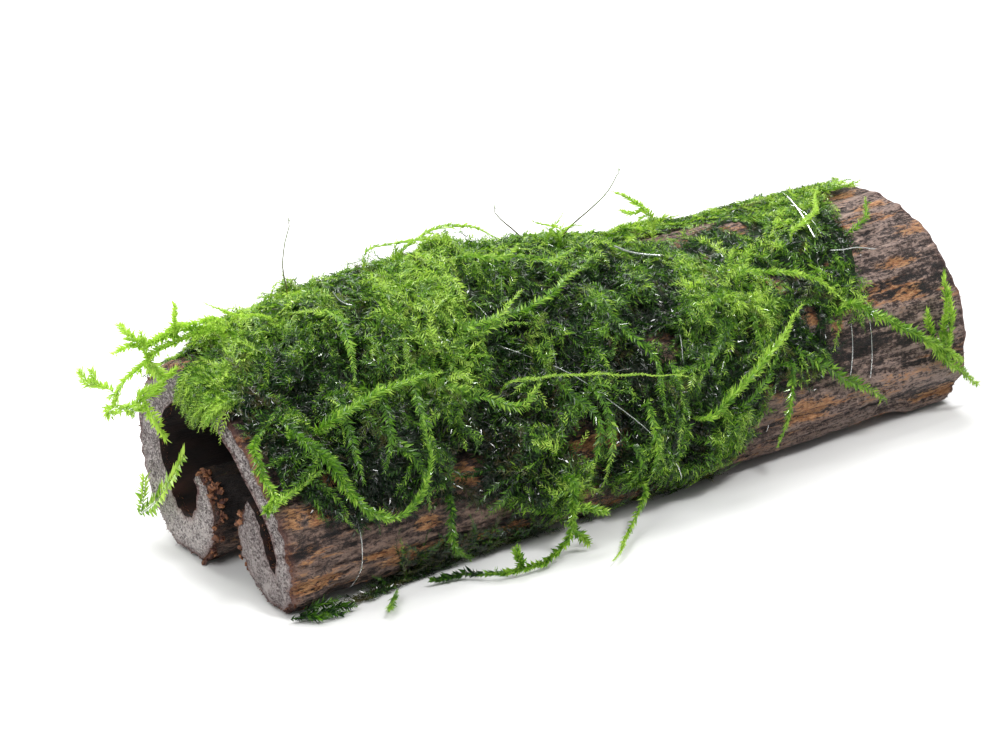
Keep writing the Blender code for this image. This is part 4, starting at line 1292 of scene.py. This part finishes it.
# Branches given one by one, in the same measure
BRANCHES = {
    "shoot_end_spray": [[(-80.8, 7.8, 29.8), (-82.2, 8, 31.0), (-83.8, 8, 32.0), (-85.5, 8, 33.2),
                         (-86.8, 8, 35.2)],
                        [(-83.6, 8, 32.0), (-84.5, 8, 33.5), (-85.0, 8, 34.8)],
                        [(-70.0, 8, 36.2), (-70.0, 8, 39.2), (-70.0, 8, 41.8)],
                        [(-75.2, 8, 34.2), (-76.0, 8, 37.0), (-78.0, 8, 38.5), (-80.0, 8, 40.8)],
                        [(-76.0, 8, 36.6), (-78.5, 8, 36.8), (-80.8, 8, 36.5)],
                        [(-75.8, 8, 36.8), (-76.0, 8, 38.8)],
                        [(-69.0, 8.4, 36.2), (-72.0, 8.4, 36.9), (-75.6, 8.4, 36.6)],
                        [(-75.2, 8, 34.4), (-74.5, 8, 33.0), (-72.8, 8, 30.8), (-71.0, 8, 31.0)],
                        [(-81.5, 7.8, 28.5), (-80.0, 8, 27.5), (-78.0, 8, 27.5), (-75.8, 8, 28.0),
                         (-73.8, 8, 28.8), (-71.8, 8, 30.4), (-70.4, 8, 31.6)],
                        [(-81.4, 7.6, 28.6), (-82.5, 8, 27.8), (-81.5, 8.6, 26.5), (-80.2, 8.6, 26.8)],
                        [(-79.0, 8.8, 27.2), (-77.2, 8.8, 26.2), (-75.4, 8.8, 26.8)],
                        [(-78.0, 7.4, 27.8), (-76.4, 7.4, 29.4), (-73.6, 7.4, 30.0)],
                        [(-75.8, 8, 27.8), (-75.0, 8, 25.2), (-73.8, 8, 22.8), (-72.5, 8, 20.8)],
                        [(-61.0, 8.6, 37.0), (-65.5, 8.6, 37.8), (-70.0, 8.6, 37.8), (-74.0, 8.4, 36.4)],
                        [(-62.5, 9.2, 36.0), (-67.0, 9.2, 36.9), (-71.0, 8.8, 36.8), (-74.5, 8.8, 35.8)],
                        [(-72.8, 8.6, 35.8), (-74.6, 8.6, 33.4), (-73.2, 8.6, 31.2), (-71.4, 8.6, 30.2)]],
    "shoot_end_ladder": [[(-72.3, 17.4, 4.4), (-71.7, 17.3, 7.2), (-71.4, 17.2, 10.2)]],
    "shoot_top_arc": [[(-19.6, 8, 43.6), (-19.2, 8, 42.0), (-18.8, 8, 40.4)]],
    "shoot_far_tip": [[(60.8, -24.0, 13.0), (62.0, -23.6, 16.8), (62.2, -23.4, 21.2), (62.2, -22.6, 26.6)],
                      [(62.0, -24.4, 12.4), (62.8, -24.0, 15.6), (63.4, -23.8, 19.4), (62.9, -23.2, 23.4)],
                      [(59.5, -23.5, 15.4), (58.5, -23.5, 18.5), (58.0, -23.3, 21.2)],
                      [(56.5, -24.2, 16.8), (59.6, -24.4, 14.8), (63.0, -24.6, 12.6), (66.0, -24.4, 10.6)]],
    "shoot_top_sprig": [[(21.6, 8, 38.2), (18.6, 8, 37.8), (16.4, 8, 38.8)],
                        [(22.4, 8, 37.0), (20.8, 8.2, 36.2)]],
    "shoot_ground_near": [[(-68.8, -22.0, 1.4), (-66.5, -23.4, 1.2), (-64.8, -24.4, 1.0)],
                          [(-67.5, -21.6, 1.6), (-64.0, -21.8, 1.8), (-61.5, -21.6, 1.8)],
                          [(-66.0, -22.6, 1.4), (-63.6, -23.8, 1.1), (-61.6, -24.4, 1.0)],
                          [(-63.5, -22.8, 1.4), (-61.4, -23.6, 1.2), (-59.6, -23.8, 1.0)]],
    "shoot_ground_loop": [[(-38.4, -26.6, 1.2), (-41.2, -24.8, 1.1), (-45.5, -23.6, 1.0)],
                          [(-32.4, -29.2, 1.5), (-34.0, -29.4, 5.2)],
                          [(-21.9, -28.2, 8.4), (-16.2, -29.4, 6.6)],
                          [(-22.4, -28.2, 5.0), (-18.9, -28.4, 1.8)]],
}
STALKS = ("shoot_stalk_tall", "shoot_stalk_fine", "shoot_stalk_far")
PLAIN_SHOOTS = ("shoot_end_ladder", "shoot_long_straight")
ON_THE_GROUND = ("shoot_ground_tip", "shoot_ground_near", "shoot_end_ladder")
# Each long shoot's brightness, and its leaves' length, opening in degrees, and step
# shoot_ground_near's low brightness is painted shade, where it lies in the shadow by the foot
SHOOT_LOOKS = {
    "shoot_end_spray": (1.02, 1.50, 68, 0.27), "shoot_end_ladder": (0.80, 2.00, 76, 0.52),
    "shoot_end_top": (0.95, 0.95, 60, 0.28), "shoot_bright_cross": (0.66, 1.30, 58, 0.28),
    "shoot_long_straight": (0.90, 0.60, 40, 0.30), "shoot_front_loop": (0.58, 1.20, 60, 0.28),
    "shoot_near_loop": (0.66, 1.20, 60, 0.28), "shoot_plume": (0.74, 1.50, 54, 0.36),
    "shoot_far_runner": (0.78, 1.05, 60, 0.34), "shoot_far_top": (0.98, 1.00, 56, 0.30),
    "shoot_far_sprig": (0.62, 1.10, 60, 0.34), "shoot_hanging_far": (0.55, 1.20, 58, 0.36),
    "shoot_hanging_near": (0.40, 1.20, 58, 0.36), "shoot_top_arc": (0.85, 1.15, 60, 0.34),
    "shoot_top_sprig": (1.00, 1.35, 64, 0.34), "shoot_far_tip": (0.68, 1.50, 60, 0.32),
    "shoot_ground_loop": (0.62, 1.20, 64, 0.26), "shoot_ground_front": (0.76, 1.20, 60, 0.36),
    "shoot_ground_tip": (0.66, 1.25, 62, 0.34), "shoot_ground_near": (0.24, 1.40, 66, 0.32),
    "shoot_stalk_tall": (0.30, 0.40, 46, 0.32), "shoot_stalk_fine": (0.30, 0.34, 46, 0.36),
    "shoot_stalk_far": (0.35, 0.40, 46, 0.32),
}
# The few shoots whose leaves are shaped in their own way
OWN_LOOKS = {
    "shoot_end_ladder": dict(slim=0.30, taper=0.1, flutter=4.0), "shoot_end_spray": dict(taper=0.25),
    "shoot_ground_loop": dict(slim=0.38, taper=0.2, flutter=14.0), "shoot_far_tip": dict(taper=0.3),
}
SPRAY_BRANCHES = dict(every=4, reach=2.0)
SHOOT_BRANCHES = dict(every=7, reach=2.4)
DARK_REACH = (-39.5, -34.5)                # the ground loop is dark on the near side of these x
DARK_DROP = 0.42
# Strands that can be told apart in the tangle: brightness, leaf length, (x, station, height over the moss)
STRANDS = (
    (0.30, 1.1, ((-54, 15.4, 0.2), (-55.5, 16.4, 1.4), (-56.5, 17.4, 1.6))),
    (0.30, 1.1, ((-47.5, 15.5, 0.4), (-49.5, 16.6, 1.6), (-52.5, 17.3, 1.6))),
    (0.36, 1.1, ((-41, 15.4, 0.6), (-43, 16.1, 1.6), (-44, 16.8, 1.8), (-43, 17.4, 1.0))),
    (0.42, 1.1, ((-43, 15.5, 0.2), (-36.5, 16.0, 0.9), (-31, 16.4, 0.8))),
    (0.52, 1.0, ((-34, 15.2, -0.4), (-25, 15.1, 0.6), (-18.5, 15.2, 1.0))),
    (0.50, 1.1, ((-25, 15.0, -0.2), (-13.5, 14.8, 0.6), (2.5, 13.9, 1.2))),
    (0.46, 1.1, ((-49, 13.5, 0.2), (-47.6, 14.0, 1.2), (-49, 14.6, 1.6), (-51, 15.3, 1.4))),
    (0.32, 1.2, ((-17, 16.8, 0.0), (-14.5, 17.6, 1.2), (-16, 18.3, 1.2), (-19, 18.5, 0.6))),
    (0.38, 1.0, ((-60.5, 16.6, 0.4), (-65.5, 16.9, 0.8), (-71.5, 17.2, 0.9))),
    (0.38, 1.1, ((-63.5, 15.5, 0.2), (-60.5, 16.7, 1.4), (-56.5, 17.9, 1.8))),
    (0.36, 1.1, ((-4, 15.0, 0.0), (-1, 15.9, 0.7), (0.8, 16.8, 0.9), (-1, 18.0, 1.1))),
    (0.38, 0.9, ((24, 15.3, 0.0), (19, 15.7, 0.7), (15.5, 16.1, 0.9))),
    (0.38, 0.9, ((19, 16.4, 0.0), (13, 16.9, 0.7), (7.5, 17.4, 0.8))),
    (0.42, 1.2, ((16, 18.2, 0.0), (20, 17.9, 1.0), (26, 17.2, 1.6))),
    (0.40, 1.5, ((31, 17.4, 0.2), (36, 17.9, 1.0), (39, 18.25, 1.2), (43.75, 18.65, 1.2), (49.5, 19.4, 1.2))),
    (0.44, 1.0, ((4, 16.9, 0.2), (3, 17.9, 1.2))),
    (0.40, 1.0, ((24, 16.3, 0.2), (22, 17.2, 1.0))),
    (0.40, 1.1, ((-8, 18.4, 0.4), (-6.5, 18.9, 1.0), (-9.5, 19.8, 1.0))),
    (0.34, 1.2, ((-52, 16.0, 0.2), (-47, 17.2, 1.4), (-45, 18.4, 1.6))),
    (0.44, 1.1, ((8.5, 12.9, -1.0), (9.6, 12.8, 0.9), (11.0, 12.7, 2.0))),
    (0.44, 1.1, ((3.5, 12.9, -1.0), (3.0, 12.8, 0.9), (1.0, 12.7, 2.2))),
    (0.66, 1.1, ((2.0, 12.6, 0.4), (5.4, 12.4, 2.6), (7.0, 12.4, 4.4))),
    (0.72, 1.1, ((4.6, 12.6, 1.6), (2.4, 12.4, 2.6), (0.4, 12.4, 3.2))),
    (0.66, 1.0, ((5.0, 12.6, 1.0), (8.6, 12.4, 2.2), (11.0, 12.4, 2.2))),
    (0.60, 1.0, ((3.0, 12.9, 0.8), (4.4, 12.7, 2.0), (5.6, 12.6, 3.0))),
    (0.80, 1.1, ((-34.0, 12.6, 0.2), (-28.0, 12.6, 0.5), (-22.0, 12.6, 0.8))),
    (0.80, 1.1, ((-28.0, 12.6, 0.2), (-23.0, 12.6, 0.7), (-17.5, 12.5, 1.4))),
    (0.60, 1.1, ((-12.5, 13.6, 0.4), (-6.0, 13.9, 1.4), (1.5, 13.5, 1.6))),
    (0.60, 1.1, ((-22.0, 13.4, 0.4), (-15.0, 13.7, 1.4), (-9.5, 13.3, 1.6))),
    (0.66, 1.0, ((-30.5, 15.0, 0.4), (-24.0, 15.0, 1.4), (-17.0, 14.6, 1.8))),
    (0.55, 1.1, ((-33.0, 16.4, 0.4), (-27.0, 16.9, 1.4), (-21.5, 16.5, 1.4))),
    (0.50, 1.1, ((-12.0, 17.0, 0.2), (-12.2, 17.9, 1.4), (-12.6, 19.2, 1.4))),
    (0.50, 1.1, ((-3.2, 17.6, 0.2), (-4.4, 18.6, 1.4), (-4.0, 19.8, 1.4))),
)
ROOT_DEPTH = 0.45          # share of the moss's thickness at which a shoot leaves its root
ROOT_REACH = 3.0           # how far along the log from its lowest point a shoot may root
SWAY = 0.14
LEAST_HEIGHT = 0.45        # how high a long shoot stays off the ground


def even_path(route, step=LEAF_STEP):
    """The smooth curve through route, as points an even step apart."""
    fine = curve(route, np.linspace(0, len(route) - 1, 40 * len(route)))
    run = np.concatenate([[0], np.cumsum(np.linalg.norm(np.diff(fine, axis=0), axis=1))])
    marks = np.arange(0, run[-1], step)
    return np.stack([np.interp(marks, run, fine[:, axis]) for axis in range(3)], axis=-1)


def sunk_root(point):
    """The nearest place inside the moss to a shoot's lowest point."""
    x = np.clip(np.linspace(point[0] - ROOT_REACH, point[0] + ROOT_REACH, 13), NEAR_END + 1.0, 60.0)
    x, station = np.meshgrid(x, np.linspace(9.5, 20.5, 111), indexing="ij")
    inside = (station > moss_hems(x)[0] + 0.3) & (station < moss_hems(x)[1] - 0.3)
    places = skin(x, station, ROOT_DEPTH * moss_thickness(x, station))
    far = np.where(inside, np.linalg.norm(places - point, axis=-1), 1e3)
    return places[np.unravel_index(far.argmin(), far.shape)]


def one_shoot(rng, route, tone, leaf, branches, open_angle=58.0, step=LEAF_STEP, ranks=BUSHY_RANKS, slim=0.28,
              flutter=16.0, **look):
    """Parts of one shoot along route, with short branches if it is long enough."""
    path = even_path(route, step)
    sway = np.stack([np.sin(np.arange(len(path)) * w + len(path)) for w in (0.21, 0.17, 0.26)], axis=-1)
    path = path + SWAY * sway
    path[:, 2] = np.maximum(path[:, 2], LEAST_HEIGHT)
    flat = path - np.array([0.0, 2.0, 14.0])
    flat[:, 0] = 0.15 * flat[:, 0]
    shoot = (path[None], unit(flat)[None], np.array([len(path)]), np.array([tone]), np.array([0.0]))
    shape = dict(leaf=leaf, slim=slim, open_angle=open_angle, flutter=flutter, ranks=ranks, **look)
    parts = [leafy(*shoot, rng, **shape)]
    if branches and len(path) > 14:
        parts.append(side_branches(rng, *shoot, leaf=leaf * 0.85, ranks=ranks, **branches))
    return parts


def in_space(places):
    return [np.array(place, float) for place in places]


def over_moss(x, station, height):
    """The place at a height over the moss, or over bare bark where there is none."""
    return skin(x, station, moss_thickness(x, station) + height)


def make_long_shoots(surface, stalk_surface):
    """Every long shoot as a piece of its own, which stands for the CAD's node."""
    rng = np.random.default_rng(23)
    routes = {name: [over_moss(*place) for place in places] for name, places in LAID_SHOOTS.items()}
    routes.update({name: in_space(places) for name, places in FREE_SHOOTS.items()})
    for name, route in routes.items():
        tone, leaf, open_angle, step = SHOOT_LOOKS[name]
        stalk = name in STALKS
        plain = stalk or name in PLAIN_SHOOTS
        if name not in ON_THE_GROUND:
            route = [sunk_root(route[0])] + route
        twigs = SPRAY_BRANCHES if name == "shoot_end_spray" else SHOOT_BRANCHES
        look = OWN_LOOKS.get(name, {})
        parts = one_shoot(rng, route, tone, leaf, {} if plain else twigs, open_angle, step,
                          ranks=FLAT_RANKS if plain else BUSHY_RANKS, stem=0.17 if stalk else 0.09, **look)
        for branch in BRANCHES.get(name, []):
            parts += one_shoot(rng, in_space(branch), tone + 0.04, leaf, twigs, open_angle, step, **look)
        if stalk:
            tip = route[-1]
            parts += one_shoot(rng, [tip, tip + (0.2, 0, 0.5), tip + (0.1, 0, 1.2)], 0.5, 0.7, {})
        points, triangles, values = join(parts)
        if not stalk:
            values["old"] = np.zeros(len(points))
        if name == "shoot_ground_loop":
            values["tone"] = values["tone"] - DARK_DROP * (1 - ease(*DARK_REACH, points[:, 0]))
        finish = stalk_surface if stalk else surface
        leafy_piece(f"{name}_leafy", (points, triangles, values), finish, [name])


def make_strands(surface):
    """The strands that can be told apart in the tangle, as one piece."""
    rng = np.random.default_rng(29)
    parts = []
    for tone, leaf, places in STRANDS:
        route = [skin(x, s, max(moss_thickness(x, s) + h, 0.4)) for x, s, h in places]
        parts += one_shoot(rng, [sunk_root(route[0])] + route, tone + 0.08, 1.1 * leaf, SHOOT_BRANCHES,
                           step=0.38, ranks=FLAT_RANKS, slim=0.30)
    points, triangles, values = join(parts)
    values["old"] = np.zeros(len(points))
    leafy_piece("moss_strands", (points, triangles, values), surface)


# Line

SEEN_RADIUS = 0.09
LEAF_CLEARANCE = 1.1       # how far a bare length stands off the moss's body, over the leaves
LONG_LIFT = 0.55           # how much higher than the close turns the long turn lies
SUNK_SHARE = 0.30          # share of the moss's thickness at which the hidden line lies
# Where the close turns lie bare on the moss: (x, station, half length in stations)
SEEN_STRETCHES = (
    (9.5, 15.7, 1.0), (-13.5, 15.2, 0.9), (44.2, 18.0, 0.5), (48.3, 18.4, 0.6), (-57.0, 18.9, 0.6),
    (-58.8, 15.0, 0.4), (49.5, 13.9, 0.8), (29.0, 18.9, 0.3), (-38.8, 19.0, 0.3),
)
SEEN_WIDTH = 4.0           # how far from such a place, along the log, a turn still lies bare
# Short lengths of the line that lie loose: radius, then (x, station)
LOOSE_ENDS = (
    (0.12, ((46.8, 15.25), (49.5, 15.3), (52.5, 15.35), (55.8, 15.5))),
    (0.19, ((11.8, 13.3), (14.0, 13.5), (16.2, 13.7), (18.5, 13.9))),
    (0.10, ((-44.4, 13.2), (-43.8, 13.3), (-43.2, 13.4), (-42.4, 13.5))),
    (0.17, ((52.0, 13.05), (50.4, 13.5), (48.6, 14.1), (46.8, 14.75))),
)
LOOSE_LIFT = 1.0
PRESSED = 1.15             # how far the line is pressed into bare bark
LONG_SEEN = (15.6, 19.8)   # stations of the front between which the long turn lies bare
LONG_FADE = 0.3            # how many stations it takes to come out or go in
LINE_SIDES = 6


def line_shows(x, station, close):
    """1 where the line lies bare on the moss, 0 where it is sunk in it."""
    if not close:
        out, back = ([at - LONG_FADE, at + LONG_FADE] for at in LONG_SEEN)
        return float(ease(*out, station) * (1 - ease(*back, station)))
    shows = [math.exp(-(((x - at_x) / SEEN_WIDTH) ** 2) - ((station - at_station) / reach) ** 4)
             for at_x, at_station, reach in SEEN_STRETCHES]
    return float(ease(0.3, 0.6, max(shows)))


def ring_phases():
    """The stations that every turn passes, and the share of a turn at which it passes each."""
    ring = RING_FRONT + RING_BACK
    places = [skin(0.0, station, 0.0) for station in ring]
    steps = [np.linalg.norm(b - a) for a, b in zip(places, places[1:] + places[:1])]
    return ring, [sum(steps[:i]) / sum(steps) for i in range(len(ring))]


def long_turn_x(turn):
    """Where along the log the long turn lies, at a number of turns past the front's phase 0."""
    return float(read(LONG_TURN, turn + 1.0 - KNOT_PHASE))


def close_turn_x(turn):
    """Where along the log the close turns lie, in the same measure."""
    base = float(curve([(x,) for x in TURNS_AT_FRONT], turn - FRONT_PHASE)[0])
    tilt = TURN_TILT * float(ease(*TILT_START, base))
    return base - tilt * math.sin(2 * math.pi * (turn - FRONT_PHASE))


def smoothed(numbers, rounds):
    """The numbers, each drawn towards its neighbours, round after round. The ends stay."""
    for _ in range(rounds):
        between = [(a + 2 * b + c) / 4 for a, b, c in zip(numbers, numbers[1:], numbers[2:])]
        numbers = [numbers[0]] + between + [numbers[-1]]
    return numbers


def line_route():
    """The line's points: one long turn to the far end, then close turns back to the knot."""
    ring, phases = ring_phases()
    last_turn = len(TURNS_AT_FRONT) - 2
    marks = []
    for turn in range(-1, 1):
        for station, phase in zip(ring, phases):
            if KNOT_PHASE - 1.0 <= turn + phase <= KNOT_PHASE:
                marks.append((long_turn_x(turn + phase), station, phase, False))
    for turn in range(-1, last_turn + 1):
        for station, phase in zip(ring, phases):
            if KNOT_PHASE - 1.0 < turn + phase <= last_turn + KNOT_PHASE:
                marks.append((close_turn_x(turn + phase), station, phase, True))
    xs = smoothed([mark[0] for mark in marks], 3)
    heights = []
    for x, (_, station, phase, close) in zip(xs, marks):
        body = float(moss_body(x, station))
        shown = line_shows(x, station, close)
        height = body + 0.35 - (body * (1 - SUNK_SHARE) + PRESSED) * (1 - shown)
        height += (LEAF_CLEARANCE * min(body, 1.0) + 0.1 * body) * shown
        if close:
            near = min(abs(x - long_turn_x(phase - 1.0)), abs(x - long_turn_x(phase)))
            height += (LINE_LIFT + LONG_LIFT * shown) * math.exp(-((near / LINE_STEP) ** 2))
        else:
            height += LONG_LIFT * shown
        heights.append(height)
    heights = smoothed(heights, 2)
    return np.array([skin(x, mark[1], height) for x, mark, height in zip(xs, marks, heights)])


def tube(path, radius):
    """A round thread along path: points and quads."""
    ahead = unit(np.gradient(path, axis=0))
    side = unit(np.cross(ahead, np.array([0.3, 1.0, 0.2])))
    up = np.cross(side, ahead)
    turns = np.arange(LINE_SIDES) * 2 * math.pi / LINE_SIDES
    round_it = np.cos(turns)[None, :, None] * side[:, None] + np.sin(turns)[None, :, None] * up[:, None]
    return (path[:, None] + radius * round_it).reshape(-1, 3), sheet_faces(len(path), LINE_SIDES, closed=True)


def make_line():
    """The line with its knot, and the short loose lengths."""
    route = line_route()
    knot = (route[0] + route[-1]) / 2
    route[0] = route[-1] = knot
    fine = curve(route, np.linspace(0, len(route) - 1, 3 * len(route)))
    parts = [tube(fine, SEEN_RADIUS), ball(knot, KNOT_RADIUS)]
    for radius, places in LOOSE_ENDS:
        loose = [skin(x, station, float(moss_body(x, station)) + LOOSE_LIFT) for x, station in places]
        parts.append(tube(curve(loose, np.linspace(0, len(loose) - 1, 12)), radius))
    points, quads, _ = join([(*part, {}) for part in parts])
    piece("clear_line", points, [quads], [line_material()], ["tying_line"])


# Stage

# Lights, in metres from the log's middle: place, size, power
LIGHTS = {
    "light_top": ((0.05, 0.42, 0.70), 0.80, 13.0),
    "light_left": ((-0.55, -0.25, 0.55), 0.35, 3.6),
    "light_glint": ((0.05, -0.38, 0.72), 0.14, 3.6),
}
FLOOR_WHITE = (0.70, 0.70, 0.695, 1)
STUDIO_STRENGTH = 0.34


def make_stage():
    """A plain white floor, three soft lights and an even studio."""
    scene = bpy.context.scene
    scene.view_settings.view_transform = "Standard"
    bpy.ops.mesh.primitive_plane_add(size=6.0, location=(0, 0, -0.0001))
    floor = bpy.context.object
    floor.name = "floor"
    surface, tree, shader = blank_material("floor_white")
    fill(tree, shader, {"Base Color": FLOOR_WHITE, "Roughness": 0.9, "Specular IOR Level": 0.1})
    floor.data.materials.append(surface)
    world = bpy.data.worlds.new("studio")
    world.use_nodes = True
    light = {"Color": (1.0, 1.0, 1.0, 1), "Strength": STUDIO_STRENGTH}
    fill(world.node_tree, world.node_tree.nodes["Background"], light)
    scene.world = world
    centre = GROUND_SHIFT * MM
    for name, (place, size, power) in LIGHTS.items():
        data = bpy.data.lights.new(name, "AREA")
        data.size = size
        data.energy = power
        lamp = bpy.data.objects.new(name, data)
        scene.collection.objects.link(lamp)
        lamp.location = np.array(place) + centre
        aim(lamp, centre + np.array([0.0, 0.0, 0.02]))


def aim(thing, target):
    """Turns a light or camera towards a place."""
    way = np.array(thing.location) - np.asarray(target)
    thing.rotation_euler = (
        math.atan2(math.hypot(way[0], way[1]), way[2]), 0.0, math.atan2(way[0], -way[1]))


def make_camera():
    """The camera, where the photograph's stood."""
    scene = bpy.context.scene
    data = bpy.data.cameras.new("camera")
    data.lens = CAMERA_LENS
    data.sensor_width = SENSOR_WIDTH
    data.clip_start = 0.01
    camera = bpy.data.objects.new("camera", data)
    scene.collection.objects.link(camera)
    turn, rise = math.radians(CAMERA_AZIMUTH), math.radians(CAMERA_ELEVATION)
    back = np.array([math.sin(turn) * math.cos(rise), -math.cos(turn) * math.cos(rise), math.sin(rise)])
    target = (CAMERA_AIM + GROUND_SHIFT) * MM
    camera.location = target + back * CAMERA_DISTANCE * MM
    aim(camera, target)
    scene.camera = camera


make_stage()
make_camera()
make_bark()
make_hollow()
make_bark_fibres()
make_torn_lips()
make_felt()
leaves = leaf_material("moss_leaf", LEAF_THROUGH)
stalks = leaf_material("moss_stalk", STALK_THROUGH, Green=STALK_BROWN, Shade=STALK_DARK)
make_moss(leaves)
make_near_fringe(leaves)
make_under_tangle(leaves)
make_strands(leaves)
make_long_shoots(leaves, stalks)
make_line()
